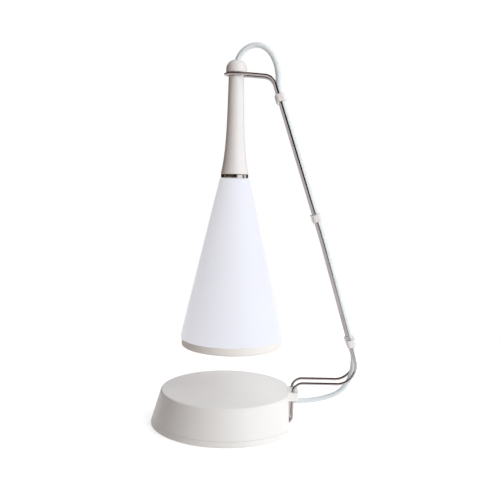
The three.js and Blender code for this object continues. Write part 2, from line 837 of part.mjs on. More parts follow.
function runPoints() {
  const [from, to] = [clipTopHeight - seatGap * 0.55, clipBottomHeight];
  const step = (to - from) / armStations;
  const onArm = Array.from({ length: armStations + 1 }, (_, i) => leadPlace(from + step * i));
  const [clipX, , clipHeight] = leadPlace(to);
  const outerX = baseFlatX + seatGap + bracketReach;
  const slack = slackShares.map(([across, up]) =>
    [outerX + (clipX - outerX) * across, 0, leadEntryHeight + (clipHeight - leadEntryHeight) * up]);
  const entry = [outerX, legX, baseFlatX, baseFlatX - shellWall].map((x) => [x, 0, leadEntryHeight]);
  return [...onArm, ...slack, ...entry, ...innerPoints()];
}

// Round the battery's corner at a distance and into the mouth of the socket
function innerPoints() {
  const innerX = baseFlatX - shellWall - leadStraight;
  const [cornerX, cornerY] = [batteryLength / 2, batteryFaceY];
  const drop = boardTop + seatGap + socketHeight / 2 - leadEntryHeight;
  const endY = socketNearY - 2 * seatGap;
  const between = (from, to, [across, along, down]) => [from[0] + (to[0] - from[0]) * across,
    from[1] + (to[1] - from[1]) * along, leadEntryHeight + drop * down];
  const wall = [innerX, 0];
  const beside = [cornerX + leadCornerRoom, cornerY];
  const beyond = [cornerX, cornerY + leadCornerRoom];
  const slant = leadCornerRoom * Math.SQRT1_2;
  const round = [[...beside, leadEntryHeight + drop * 0.45],
    [cornerX + slant, cornerY + slant, leadEntryHeight + drop * 0.55],
    [...beyond, leadEntryHeight + drop * 0.65]];
  return [...innerShares.map((share) => between(wall, beside, share)), ...round,
    ...socketShares.map((share) => between(beyond, [leadSocketX, endY], share))];
}

function batteryWire(side) {
  const reach = socketNearY + socketDepth / 2 - seatGap - batteryFaceY;
  const height = boardTop + seatGap + socketHeight / 2;
  const centreX = batterySocketX + side * batteryWireSpacing / 2;
  const points = batteryWireShares.map(([aside, along, up]) =>
    [centreX + aside * socketLength, batteryFaceY + reach * along, height * up]);
  return leadTube(points, coreRadius, leadRadius);
}

function cableClip(latch) {
  const half = (clipInner + clipOuter) / 2;
  const outline = roundedRectangle(half, clipHalfWidth, clipCorner);
  const body = moved(plate(outline, -clipLength / 2, clipLength / 2), clipOuter - half, 0, 0);
  const tabSide = clipCorner - clipHalfWidth;
  const tab = block([-clipInner, tabSide, -clipLength / 2 - latch],
    [latchThickness - clipInner, tabSide + 2 * latchHalfWidth, seatGap - clipLength / 2]);
  const low = -clipLength - cutOverrun;
  const high = clipLength + cutOverrun;
  const wires = [-1, 1].map((side) => pinAt(wireRadius + seatGap, low, high, [0, side * wireSpread]));
  const slitDepth = clipInner + cutOverrun;
  const slits = [-1, 1].map((side) =>
    boxAt([slitDepth, clipSlit, high - low], [-slitDepth / 2, side * wireSpread, 0]));
  const leadWay = moved(bar(leadRadius + seatGap, low, high, smallSides), leadOffset, 0, 0);
  const leadSlit = block([leadOffset, -clipSlit / 2, low], [clipOuter + cutOverrun, clipSlit / 2, high]);
  return cut(join(body, tab), ...wires, ...slits, leadWay, leadSlit);
}

function addClip(name, height, latch) {
  const { x, lean } = armPlace(height);
  const clip = add(name, cableClip(latch), 'glossWhite');
  clip.position.set(x, 0, height);
  clip.rotation.y = lean;
}

function grommet() {
  const inner = baseFlatX - shellWall - seatGap;
  const flangeX = inner - grommetFlangeThickness;
  const ring = (radius, fromX, toX) => barAlongX(radius, fromX, toX, 0, leadEntryHeight, smallSides);
  const body = join(ring(grommetRadius, flangeX, baseFlatX - seatGap), ring(grommetFlange, flangeX, inner));
  return cut(body, ring(leadRadius + seatGap, flangeX - cutOverrun, baseFlatX + cutOverrun));
}

// Head, built around its own axis and then set at the hook

function domeCap() {
  const shoulder = capBottom + capSkirt;
  const profile = [[0, capBottom],
    ...arcPoints(capRadius - capEdge, capBottom + capEdge, capEdge, capEdge, -Math.PI / 2, 0, 3),
    ...arcPoints(0, shoulder, capRadius, capCrown, 0, Math.PI / 2, 8)];
  const stemWayTop = capBottom + stemInCap + 2 * seatGap;
  const stemWay = bar(stemRadius + seatGap, capBottom - cutOverrun, stemWayTop, smallSides);
  const leadWay = moved(archTube((leadRadius + seatGap) / Math.cos(Math.PI / leadSides)), -headX, 0, 0);
  return cut(turned(profile, bodySides), stemWay, leadWay);
}

function capStem() {
  const top = capBottom + stemInCap;
  const bore = bar(stemBore, stemBottom - cutOverrun, top + cutOverrun, smallSides);
  return cut(bar(stemRadius, stemBottom, top, smallSides), bore);
}

function stemNut() {
  return cut(bar(nutRadius, nutTop - nutHeight, nutTop, 6),
    bar(stemRadius + seatGap, nutTop - nutHeight - cutOverrun, nutTop + cutOverrun, smallSides));
}

function neckRadius(share) {
  const flare = neckFlareShare * share + (1 - neckFlareShare) * share ** neckFlarePower;
  return neckTopRadius + (neckBottomRadius - neckTopRadius) * flare;
}

function neckShell() {
  const grooveBottom = neckTop - neckGrooveDepth;
  const rings = Array.from({ length: neckRings + 1 }, (_, i) => i / neckRings);
  const outer = rings.map((share) => [neckRadius(share), grooveBottom - (grooveBottom - neckBottom) * share]);
  const spigotInner = spigotRadius - spigotWall;
  const inner = outer.map(([radius, height]) => [radius - neckWall, height])
    .filter(([radius, height]) => height < neckCeiling && radius < spigotInner).reverse();
  const stemWay = stemRadius + seatGap;
  const profile = [[stemWay, neckTop], [neckGrooveRadius, neckTop], [neckGrooveRadius, grooveBottom],
    ...outer, [spigotRadius, neckBottom], [spigotRadius, spigotBottom], [spigotInner, spigotBottom],
    [spigotInner, neckBottom + neckWall], ...inner, [neckTopRadius - neckWall, neckCeiling],
    [stemWay, neckCeiling]];
  return turned([...profile, profile[0]], bodySides);
}

function chromeRing() {
  const inner = spigotRadius + seatGap;
  const edge = trimHeight / 6;
  const profile = [[inner, trimTop], [trimRadius - edge, trimTop], [trimRadius, trimTop - edge],
    [trimRadius, trimTop - trimHeight + edge], [trimRadius - edge, trimTop - trimHeight],
    [inner, trimTop - trimHeight], [inner, trimTop]];
  return turned(profile, bodySides);
}

function coneRadius(height) {
  const share = (coneTop - height) / (coneTop - coneBottom);
  return coneTopRadius + (coneBottomRadius - coneTopRadius) * share;
}

function diffuserCone() {
  const flangeInner = spigotRadius + seatGap;
  const under = coneTop - coneFlange;
  const edgeHeight = coneBottom + coneEdge;
  const profile = [[flangeInner, coneTop], [coneTopRadius, coneTop], [coneRadius(edgeHeight), edgeHeight],
    [coneRadius(edgeHeight) - coneEdge / 3, coneBottom + coneEdge / 3],
    [coneRadius(edgeHeight) - coneEdge, coneBottom], [coneBottomRadius - coneWall, coneBottom],
    [coneRadius(under) - coneWall, under], [flangeInner, under], [flangeInner, coneTop]];
  return turned(profile, wideSides);
}

function lowerRing() {
  const lipOuter = coneBottomRadius - coneWall - seatGap;
  const lipTop = ringTop + ringLip;
  const lipTopRadius = lipOuter + coneRadius(lipTop) - coneBottomRadius;
  const inner = ringRadius - ringWall;
  const ledgeInner = inner - ledgeReach;
  const profile = [[lipOuter, ringTop], [ringRadius, ringTop],
    ...arcPoints(ringRadius - ringEdge, ringBottom + ringEdge, ringEdge, ringEdge, 0, -Math.PI / 2, 4),
    [ledgeInner, ringBottom], [ledgeInner, ringBottom + ringLedge], [inner, ringBottom + ringLedge],
    [inner, ringTop], [lipTopRadius - lipWall, lipTop], [lipTopRadius, lipTop], [lipOuter, ringTop]];
  return turned(profile, wideSides);
}

function bottomLens() {
  const radius = ringRadius - ringWall - seatGap;
  const edge = lensThickness / 4;
  const top = lensBottom + lensThickness;
  const profile = [[0, lensBottom], [radius, lensBottom], [radius, top - edge], [radius - edge, top],
    [0, top]];
  return turned(profile, wideSides);
}

function ledCarrier() {
  const stub = spigotRadius - spigotWall - seatGap;
  const body = turned([[carrierBore, flangeBottom], [carrierFlange, flangeBottom],
    [carrierFlange, flangeBottom + carrierFlangeThickness], [stub, flangeBottom + carrierFlangeThickness],
    [stub, carrierTop], [carrierBore, carrierTop], [carrierBore, flangeBottom]], smallSides);
  return cut(body, ...ledScrewWays(flangeBottom - cutOverrun));
}

function ledScrewWays(bottom) {
  const top = ledBoardBottom + ledScrewLength + seatGap;
  return [-1, 1].map((side) => pinAt(ledScrewShank + seatGap, bottom, top, [0, side * ledScrewCircle]));
}

function ledBoard() {
  const board = turned([[carrierBore, ledBoardBottom], [ledBoardRadius, ledBoardBottom],
    [ledBoardRadius, ledBoardBottom + ledBoardThickness], [carrierBore, ledBoardBottom + ledBoardThickness],
    [carrierBore, ledBoardBottom]], smallSides);
  return cut(board, ...ledScrewWays(ledBoardBottom - cutOverrun));
}

function led() {
  const top = ledBoardBottom - seatGap;
  const window = ledSide * 0.75;
  return cut(boxAt([ledSide, ledSide, ledHeight], [0, 0, top - ledHeight / 2]),
    boxAt([window, window, ledHeight / 2], [0, 0, top - ledHeight]));
}

function lampWire(side) {
  return moved(bar(coreRadius, ledBoardBottom, capBottom + stemInCap, leadSides), side * coreOffset, 0, 0);
}

function addScrews(name, places, seat, sizes, up) {
  places.forEach(([x, y], i) => {
    const geometry = screw(...sizes);
    if (!up) geometry.rotateX(Math.PI);
    add(`${name}_${i + 1}`, moved(geometry, x, y, seat), 'zinc');
  });
}

function addBase() {
  add('base_shell', baseShell(), 'glossWhite');
  add('bottom_plate', bottomPlate(), 'glossWhite');
  add('foot_pad', bar(padRadius, 0, padTop, bodySides), 'rubber');
  const baseScrewSeat = plateBottom + screwHeadHeight;
  const bossTop = floorTop + seatGap + bossScrewDepth - seatGap;
  addScrews('base_screw', baseScrewPlaces(), baseScrewSeat,
    [screwShank, screwHeadRadius, screwHeadHeight, bossTop - baseScrewSeat], false);
  add('ballast_plate', ballast(), 'iron');
  addScrews('ballast_screw', ballastScrewPlaces(), ballastTop + seatGap,
    [screwShank, screwHeadRadius, screwHeadHeight, ballastThickness + 2 * seatGap + ballastScrewBite], true);
  add('battery_cell', battery(), 'foil');
  add('main_board', mainBoard(), 'boardGreen');
  addScrews('board_screw', boardScrewPlaces(), boardTop + seatGap,
    [boardScrewShank, boardScrewHead, boardScrewHeadHeight, boardScrewLength], true);
  const chipY = socketNearY + socketDepth + chipGap + chipWidth / 2;
  add('driver_chip', boardPiece(chipLength, chipWidth, chipHeight, 0, chipY), 'blackPlastic');
  add('lead_socket', wireSocket(leadSocketX), 'nylon');
  add('battery_socket', wireSocket(batterySocketX), 'nylon');
  [-1, 1].forEach((side, i) => {
    add(`battery_wire_${'ab'[i]}`, batteryWire(side), i ? 'blackPlastic' : 'redWire');
  });
}

function addRearPanel() {
  add('power_inlet', powerInlet(), 'chrome');
  add('switch_body', switchBody(), 'blackPlastic');
  add('switch_slider', switchSlider(), 'blackPlastic');
}

function addArm() {
  add('arm_bracket', armBracket(), 'glossWhite');
  [-1, 1].forEach((side, i) => {
    const geometry = screw(bracketScrewShank, bracketScrewHead, bracketScrewHeadHeight,
      shellWall + 2 * seatGap + bracketScrewBite);
    geometry.rotateY(-Math.PI / 2);
    add(`bracket_screw_${i + 1}`, moved(geometry, baseFlatX - shellWall - seatGap, side * bracketScrewY,
      bracketScrewHeight), 'zinc');
  });
  add('arm_wire', armWire(), 'steel');
  addClip('cable_clip_top', clipTopHeight, topLatch);
  addClip('cable_clip_middle', clipMiddleHeight, otherLatch);
  addClip('cable_clip_bottom', clipBottomHeight, otherLatch);
  add('lead_grommet', grommet(), 'nylon');
  add('lead_run', leadTube(runPoints(), leadRadius, 2 * leadRadius * 1.25), 'lead');
  add('lead_arch', archTube(leadRadius), 'lead');
}

function addHead() {
  const head = new THREE.Group();
  head.position.set(headX, 0, 0);
  lamp.add(head);
  add('dome_cap', domeCap(), 'glossWhite', head);
  add('cap_stem', capStem(), 'zinc', head);
  add('stem_nut', stemNut(), 'zinc', head);
  add('neck_shell', neckShell(), 'glossWhite', head);
  add('chrome_ring', chromeRing(), 'chrome', head);
  add('diffuser_cone', diffuserCone(), 'milky', head);
  add('lower_ring', lowerRing(), 'cream', head);
  add('bottom_lens', bottomLens(), 'milky', head);
  add('led_carrier', ledCarrier(), 'aluminium', head);
  add('led_board', ledBoard(), 'boardWhite', head);
  for (let i = 0; i < ledCount; i += 1) {
    const angle = (2 * i + 1) * Math.PI / ledCount;
    const piece = moved(led(), ledCircle * Math.cos(angle), ledCircle * Math.sin(angle), 0);
    add(`led_${i + 1}`, piece, 'phosphor', head);
  }
  [-1, 1].forEach((side, i) => {
    const geometry = screw(ledScrewShank, ledScrewHead, ledScrewHeadHeight, ledScrewLength);
    geometry.rotateX(Math.PI);
    geometry.translate(0, side * ledScrewCircle, ledBoardBottom - seatGap);
    add(`led_screw_${i + 1}`, geometry, 'zinc', head);
    add(`lamp_wire_${'ab'[i]}`, lampWire(side), i ? 'blackPlastic' : 'redWire', head);
  });
}

addBase();
addRearPanel();
addArm();
addHead();

export default lamp;
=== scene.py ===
# A small bedside lamp with a hanging head: finer outsides, finishes and a plain studio around the CAD frame.
# Shapes are drawn in millimetres and turned to metres when each piece is finished.
import math

import bmesh
import bpy
from mathutils import Matrix, Vector


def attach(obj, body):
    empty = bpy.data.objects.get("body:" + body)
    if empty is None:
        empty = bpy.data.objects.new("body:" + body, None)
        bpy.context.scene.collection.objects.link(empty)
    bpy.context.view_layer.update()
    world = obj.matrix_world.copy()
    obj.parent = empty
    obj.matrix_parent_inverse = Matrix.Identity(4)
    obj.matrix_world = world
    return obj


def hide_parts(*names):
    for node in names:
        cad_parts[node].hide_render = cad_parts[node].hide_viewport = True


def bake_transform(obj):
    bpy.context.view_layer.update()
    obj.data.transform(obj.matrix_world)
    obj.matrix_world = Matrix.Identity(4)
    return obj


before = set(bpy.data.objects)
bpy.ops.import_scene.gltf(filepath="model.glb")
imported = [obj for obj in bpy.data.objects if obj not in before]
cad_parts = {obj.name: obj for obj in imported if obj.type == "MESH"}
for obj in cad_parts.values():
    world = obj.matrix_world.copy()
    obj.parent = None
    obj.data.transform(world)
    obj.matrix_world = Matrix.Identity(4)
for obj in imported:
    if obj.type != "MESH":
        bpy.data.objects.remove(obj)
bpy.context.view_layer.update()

MM = 0.001

# How many sides a round piece has: the wide ones, the cap and the neck, and small ones
WIDE, ROUND, SMALL = 160, 96, 40

# Points this close become one. A hair tells what lies on a face, and near tells one end from the other.
merge_distance = 0.0005
hair = 0.01
near = 0.1

# Most pieces lie a gap apart, and what cuts a piece runs past its faces by an overrun
gap = 0.3
overrun = 2

# Camera, with its place in metres and its turns in degrees
camera_place = (0.014, -0.46, 0.1638)
camera_tilt = 84
camera_lean = 1.2
camera_lens = 50.8
sensor_width = 36

# Base
base_bottom_radius = 50
base_top_radius = 43.2
base_height = 22.5
flat_x = 41
shell_wall = 2.2
shell_bottom = 3.78
ceiling = base_height - shell_wall
plate_bottom = 0.3
skirt_top = 3.66
floor_top = 3.3
lip_height = 2.8
lip_wall = 1.6
pad_radius = 30
pad_top = 1
screw_circle = 38
screw_shank = 1.2
screw_head = 2.4
post_places = [(-13, 24), (-13, 36), (13, 24), (13, 36)]
ballast_screw_places = [(-27, -3), (27, -3)]

# Recess at the back, with the inlet and the switch
recess_half = 13
recess_bottom = 8.4
recess_top = 15.4
recess_face = 42
recess_panel = 2
inlet_x = -6
inlet_z = 10.9
inlet_width = 8.9
inlet_height = 3.2
inlet_depth = 7.3
slider_x = 4.95
switch_x = 6.2
switch_z = 11.1

# Arm
wire_radius = 0.9
wire_spread = 5.9
wire_way = 1.05
toe_x = 33.5
toe_height = 1.6
leg_x = 44.1
run_height = 28.2
heel_x = 89.26
knee_x = 60.4
knee_height = 123.6
crest_x = 26.1
crest_height = 226.9
hook_height = 227.9
hook_bend_x = 11
hook_x = 1.9

# The arm's corners in X and Z, each with its bend radius
arm_corners = [
    (toe_x, toe_height, 0), (leg_x, toe_height, 4), (leg_x, run_height, 6.8), (heel_x, run_height, 12),
    (knee_x, knee_height, 300), (crest_x, crest_height, 7.5), (hook_bend_x, hook_height, 20),
    (hook_x, hook_height, 0),
]

# Bracket on the flat side
bracket_low = 16.6
bracket_high = 22.4
bracket_half = 8.4
bracket_back = flat_x + 0.05
bracket_front = 47.9
bracket_reach = 8
bracket_screw_radius = 1.2
bracket_screw_y = 4.1
bracket_screw_z = 18.1

# Lead and its clips
lead_radius = 1.7
lead_entry = 14.7
lead_offset = 1.3
clip_inner = 2.2
clip_outer = 3.9
clip_half = 7.9
clip_length = 4.8

# Each clip's name, its height on the arm, and how far its latch reaches below it
clips = [("top", 213.4, 1.6), ("middle", 137.2, 0.5), ("bottom", 55.5, 0.5)]

# The lead from the dome, over its arch, down the arm and into the base to its socket
lead_route = [
    (3.09, 0, 233.5), (3.26, 0, 235.3), (4.01, 0, 238.1), (5.59, 0, 240.9), (7.4, 0, 242.99),
    (9.79, 0, 244.89), (12.69, 0, 246.19), (15.8, 0, 246.69), (19.19, 0, 246), (22.3, 0, 244.2),
    (25.09, 0, 241.31),
    (27.19, 0, 237.7), (28.68, 0, 233.4), (29.6, 0, 228.59), (29.89, 0, 223.8), (30.29, 0, 219.2),
    (31.02, 0, 216.21), (31.87, 0, 213.64), (38.85, 0, 192.61), (45.84, 0, 171.58), (52.82, 0, 150.55),
    (59.8, 0, 129.52), (63.16, 0, 118.97), (69.52, 0, 97.94), (75.88, 0, 76.91), (79.06, 0, 66.39),
    (82.25, 0, 55.88), (83.1, 0, 52.91), (83.69, 0, 49.99), (84.13, 0, 45.99), (84.2, 0, 41.01),
    (83.59, 0, 35.62), (82.21, 0, 30.59), (79.98, 0, 26.11), (76.99, 0, 22.61), (73.28, 0, 20.01),
    (69.4, 0, 18.28), (65.48, 0, 17.01), (61.5, 0, 16.02), (57.48, 0, 15.4), (53.5, 0, 14.99),
    (47.9, 0, 14.7), (44.1, 0, 14.7), (39.6, 0, 14.7), (37.4, 0, 14.7), (33.8, 0, 14.7), (31.55, 0.9, 14.57),
    (29.3, 3.2, 14.21), (27.35, 6.3, 13.71), (26.3, 10, 13.22), (25.04, 13.04, 12.89), (22, 14.3, 12.56),
    (16.72, 14.5, 12.06), (11.6, 14.97, 11.57), (8.08, 16.31, 11.4), (6.32, 18.45, 11.4), (6, 21, 11.4),
]

# Head
head_x = 3
cap_bottom = 229.15
cap_radius = 6.6
cap_skirt = 2.2
cap_crown = 6
stem_way = 2.4
stem_way_top = 233.75
neck_top = 228.85
neck_ceiling = 225.85
neck_bottom = 164.75
neck_top_radius = 4.9
neck_bottom_radius = 8.95
neck_wall = 1.6
groove_bottom = 226.45
groove_radius = 4.6
spigot_radius = 7.5
spigot_wall = 1.3
spigot_bottom = 158.35
trim_radius = 8.85
trim_top = 164.7
trim_bottom = 161.9
cone_top = 161.85
cone_top_radius = 9.5
cone_bottom = 57.4
cone_bottom_radius = 34
cone_wall = 1.6
ring_radius = 33.1
ring_top = 57.35
ring_bottom = 52.1
ring_wall = 2.2
lens_radius = 30.7
lens_bottom = 53.9
lens_top = 55.5


def place_camera():
    """Stands where the photograph was taken from, with its slight lean"""
    data = bpy.data.cameras.new("camera")
    data.sensor_width = sensor_width
    data.lens = camera_lens
    camera = bpy.data.objects.new("camera", data)
    camera.matrix_world = (Matrix.Translation(camera_place)
                           @ Matrix.Rotation(math.radians(camera_tilt), 4, "X")
                           @ Matrix.Rotation(math.radians(camera_lean), 4, "Z"))
    bpy.context.scene.collection.objects.link(camera)
    bpy.context.scene.camera = camera


place_camera()


# Finishes

def linear(colour):
    """Turns an sRGB hex colour to linear"""
    channels = [int(colour[i:i + 2], 16) / 255 for i in (1, 3, 5)]
    return tuple(c / 12.92 if c <= 0.04045 else ((c + 0.055) / 1.055) ** 2.4 for c in channels) + (1.0,)


def per_metre(millimetres):
    """The scale at which a pattern repeats about once in that many millimetres"""
    return 1000 / millimetres


def add_node(tree, kind, settings=None, sockets=None):
    """Adds a node: an output given for a socket is linked, and anything else is set"""
    made = tree.nodes.new("ShaderNode" + kind)
    for name, value in (settings or {}).items():
        setattr(made, name, value)
    for name, value in (sockets or {}).items():
        if isinstance(value, bpy.types.NodeSocket):
            tree.links.new(value, made.inputs[name])
        else:
            made.inputs[name].default_value = value
    return made


def mixed(tree, share, first, second):
    """The colour between two, by a share from 0 to 1"""
    return add_node(tree, "Mix", {"data_type": "RGBA"}, {0: share, 6: first, 7: second}).outputs[2]


def computed(tree, operation, first, second):
    return add_node(tree, "Math", {"operation": operation}, {0: first, 1: second}).outputs[0]


def eased(tree, value, start, end):
    """0 at the start and 1 at the end, with a smooth change between them"""
    return add_node(tree, "MapRange", {"interpolation_type": "SMOOTHSTEP"},
                    {"Value": value, "From Min": start, "From Max": end}).outputs["Result"]


def blank_material(name):
    material = bpy.data.materials.new(name)
    material.use_nodes = True
    material.node_tree.nodes.clear()
    return material, material.node_tree


def surface(name, dark, light, mottle, roughness, grain, depth, sockets, stretch=(1, 1, 1)):
    """A finish between two close colours that drift over mottle mm, with a roughness range
    and a relief of grain mm across and depth mm high"""
    material, tree = blank_material(name)
    place = add_node(tree, "TexCoord").outputs["Object"]
    drawn = add_node(tree, "Mapping", sockets={"Vector": place, "Scale": stretch}).outputs["Vector"]
    drift = add_node(tree, "TexNoise", sockets={"Vector": place, "Scale": per_metre(mottle),
                                                "Detail": 3.0, "Roughness": 0.55}).outputs["Fac"]
    fine = add_node(tree, "TexNoise", sockets={"Vector": drawn, "Scale": per_metre(grain),
                                               "Detail": 4.0, "Roughness": 0.6}).outputs["Fac"]
    colour = mixed(tree, drift, linear(dark), linear(light))
    uneven = computed(tree, "ADD", drift, fine)
    rough = add_node(tree, "MapRange", sockets={"Value": uneven, "From Min": 0.7, "From Max": 1.3,
                                                "To Min": roughness[0], "To Max": roughness[1]})
    relief = add_node(tree, "Bump", sockets={"Height": fine, "Strength": 1.0, "Distance": depth * MM})
    shader = add_node(tree, "BsdfPrincipled", sockets={
        "Base Color": colour, "Roughness": rough.outputs["Result"], "Normal": relief.outputs["Normal"],
        **sockets})
    add_node(tree, "OutputMaterial", sockets={"Surface": shader.outputs["BSDF"]})
    return material


# Mould-polished ABS: a warm white skin with a soft gloss and the faintest waviness
white_abs = surface("abs_moulded_gloss_white", "#F1EFED", "#F7F6F4", 18, (0.29, 0.36), 1.6, 0.003,
                    {"IOR": 1.54})

# The same ABS in a cream shade, satin from a finer spark grain in the mould
cream_abs = surface("abs_moulded_satin_cream", "#F0ECE8", "#F6F3EF", 14, (0.36, 0.44), 0.6, 0.006,
                    {"IOR": 1.54})

# The same ABS in a warm grey, for the strap behind the arm's legs. Its grey is painted shade: the shadow in
# the narrow gap under the bracket.
strap_painted_shade = surface("abs_moulded_grey_painted_shade", "#C4BBB6", "#CCC4C0", 12, (0.36, 0.44), 0.6, 0.006,
                   {"IOR": 1.54})

# Opal polypropylene, blown matt: light goes in and spreads, so edges and shadows stay soft. A glow of its
# own over a darker base colour stands for the even brightness of the cone.
opal_shade = surface("polypropylene_opal_matt", "#999EAA", "#A1A6B2", 25, (0.44, 0.52), 0.5, 0.008,
                     {"IOR": 1.49, "Subsurface Weight": 0.3, "Subsurface Scale": 0.002,
                      "Emission Color": linear("#F4F3F8"), "Emission Strength": 0.6})

# Frosted acrylic of the cover under the lamp
frosted_acrylic = surface("acrylic_moulded_frosted", "#E9ECF2", "#F1F3F8", 12, (0.5, 0.6), 0.3, 0.012,
                          {"IOR": 1.49, "Subsurface Weight": 0.3, "Subsurface Scale": 0.003})

# Stainless wire, drawn and then polished: bright lines along it, warm from what stands round it
polished_wire = surface("stainless_wire_polished", "#A39B9B", "#B4ADAE", 9, (0.08, 0.14), 0.5, 0.0004,
                        {"Metallic": 1.0})

# Chrome on brass: an almost perfect mirror
chrome_plate = surface("brass_chrome_plated", "#DAD9D4", "#E6E5E0", 6, (0.04, 0.08), 1.5, 0.001,
                       {"Metallic": 1.0})

# Soft PVC, extruded: a bluish white skin, a little waxy
lead_pvc = surface("pvc_extruded_white", "#E2EAED", "#EAF0F3", 14, (0.36, 0.44), 0.8, 0.002, {"IOR": 1.53})

# EVA foam, cut from sheet: a dull grey skin of small closed cells
foam_pad = surface("eva_foam_cut", "#77777A", "#8E8E90", 3, (0.85, 0.95), 0.35, 0.05, {"IOR": 1.45})

# Zinc plate on the turned steel of screws, stem and nut: pale grey with a faint yellow cast
zinc_plate = surface("steel_zinc_plated", "#A2A29E", "#B9B8B2", 1.5, (0.28, 0.4), 0.4, 0.004,
                     {"Metallic": 1.0})

# Hot-rolled steel with its dark scale
rolled_steel = surface("steel_hot_rolled", "#55585C", "#74777B", 4, (0.5, 0.68), 0.5, 0.02,
                       {"Metallic": 0.85})

# Aluminium-laminate pouch of a lithium cell: dull silver, softly creased
foil_pouch = surface("laminate_foil_pouch", "#A9ADB2", "#C3C6CA", 5, (0.32, 0.46), 2.5, 0.06,
                     {"Metallic": 0.7})

# Turned aluminium: fine circular lines read as a silky sheen
turned_aluminium = surface("aluminium_turned", "#B9BCBF", "#CDCFD2", 3, (0.3, 0.42), 0.3, 0.006,
                           {"Metallic": 1.0}, (1, 1, 6))

# Copper strips under a flash of gold
gold_plate = surface("copper_gold_plated", "#D9B25E", "#E6C577", 1, (0.18, 0.25), 0.3, 0.002,
                     {"Metallic": 1.0})

# Nickel-plated pressed steel of the inlet
nickel_plate = surface("steel_nickel_plated", "#BDBBB4", "#CFCDC6", 2, (0.18, 0.26), 0.5, 0.003,
                       {"Metallic": 1.0})

# Glass-epoxy laminate under green solder resist, slightly uneven
green_board = surface("glass_epoxy_green", "#1F5A36", "#2C7046", 2, (0.32, 0.44), 0.6, 0.01,
                      {"IOR": 1.55, "Coat Weight": 0.3})

# The same laminate under white solder resist
white_board = surface("glass_epoxy_white", "#E9E9E4", "#F4F4F0", 2, (0.36, 0.46), 0.6, 0.01, {"IOR": 1.55})

# Unfilled nylon, moulded: milky off-white, half gloss
nylon = surface("nylon_moulded_natural", "#E4E2DA", "#EFEDE6", 5, (0.36, 0.48), 0.5, 0.008,
                {"IOR": 1.53, "Subsurface Weight": 0.15, "Subsurface Scale": 0.001})

# Black ABS, spark-grained: dull with a fine pebble
black_abs = surface("abs_moulded_satin_black", "#17181A", "#232427", 4, (0.42, 0.55), 0.35, 0.012,
                    {"IOR": 1.54})

# Black moulding epoxy of a chip: flat and slightly gritty
chip_epoxy = surface("epoxy_moulded_black", "#1C1D1F", "#27282A", 1.5, (0.55, 0.68), 0.2, 0.01, {"IOR": 1.55})

# Thin extruded PVC on the inner wires
red_pvc = surface("pvc_extruded_red", "#A92620", "#C23A30", 3, (0.38, 0.48), 0.5, 0.006, {"IOR": 1.53})
black_pvc = surface("pvc_extruded_black", "#1A1A1C", "#262629", 3, (0.38, 0.48), 0.5, 0.006, {"IOR": 1.53})

# Silicone with phosphor powder in the small lights: matt egg yellow
phosphor = surface("silicone_phosphor_cast", "#E9CF63", "#F3DE82", 0.8, (0.55, 0.66), 0.15, 0.01,
                   {"IOR": 1.41})


# Shapes

def turned(profile, sides, closed=True):
    """Turns an outline of (radius, height, rounding) in X and Z around the Z axis"""
    mesh = bmesh.new()
    points = [mesh.verts.new((place[0], 0, place[1])) for place in profile]
    for a, b in zip(points, points[1:] + points[:1] if closed else points[1:]):
        mesh.edges.new((a, b))
    for point, place in zip(points, profile):
        if len(place) > 2:
            bmesh.ops.bevel(mesh, geom=[point], offset=place[2], segments=5, profile=0.5,
                            affect="VERTICES", material=-1)
    bmesh.ops.spin(mesh, geom=mesh.verts[:] + mesh.edges[:], cent=(0, 0, 0), axis=(0, 0, 1),
                   angle=2 * math.pi, steps=sides, use_merge=True)
    return merged(mesh)


def merged(mesh):
    """Closes seams and poles and turns the faces outwards"""
    bmesh.ops.remove_doubles(mesh, verts=mesh.verts, dist=merge_distance)
    bmesh.ops.dissolve_degenerate(mesh, edges=mesh.edges, dist=merge_distance)
    bmesh.ops.recalc_face_normals(mesh, faces=mesh.faces)
    return mesh


def moved(mesh, x=0, y=0, z=0):
    bmesh.ops.translate(mesh, vec=(x, y, z), verts=mesh.verts)
    return mesh


def rotated(mesh, degrees, axis):
    turn = Matrix.Rotation(math.radians(degrees), 3, axis)
    bmesh.ops.rotate(mesh, cent=(0, 0, 0), matrix=turn, verts=mesh.verts)
    return mesh


def rod(radius, start, end, sides=SMALL, end_radius=None):
    """A round rod between two points"""
    mesh = bmesh.new()
    start, end = Vector(start), Vector(end)
    bmesh.ops.create_cone(mesh, cap_ends=True, segments=sides, radius1=radius, radius2=end_radius or radius,
                          depth=(end - start).length)
    turn = Vector((0, 0, 1)).rotation_difference(end - start).to_matrix()
    bmesh.ops.rotate(mesh, cent=(0, 0, 0), matrix=turn, verts=mesh.verts)
    return moved(mesh, *((start + end) / 2))


def edges_along(mesh, axis):
    return [e for e in mesh.edges if abs((e.verts[1].co - e.verts[0].co).normalized()[axis]) > 0.99]


def sharp_edges(mesh, degrees):
    return [e for e in mesh.edges if e.is_manifold and e.calc_face_angle() > math.radians(degrees)]


def rounded(mesh, edges, offset, segments=3):
    bmesh.ops.bevel(mesh, geom=edges, offset=offset, segments=segments, profile=0.5,
                    affect="EDGES", material=-1)
    return mesh


def block(low, high, corner=0, axis=2, edge=0):
    """A block whose edges along an axis are rounded by corner, and all that are left by edge"""
    mesh = bmesh.new()
    low, high = Vector(low), Vector(high)
    bmesh.ops.create_cube(mesh, size=1)
    bmesh.ops.scale(mesh, vec=high - low, verts=mesh.verts)
    moved(mesh, *((low + high) / 2))
    if corner:
        rounded(mesh, edges_along(mesh, axis), corner, 6)
    if edge:
        rounded(mesh, sharp_edges(mesh, 60), edge)
    return mesh


def as_object(mesh, name="shape"):
    data = bpy.data.meshes.new(name)
    mesh.to_mesh(data)
    mesh.free()
    made = bpy.data.objects.new(name, data)
    bpy.context.scene.collection.objects.link(made)
    return made


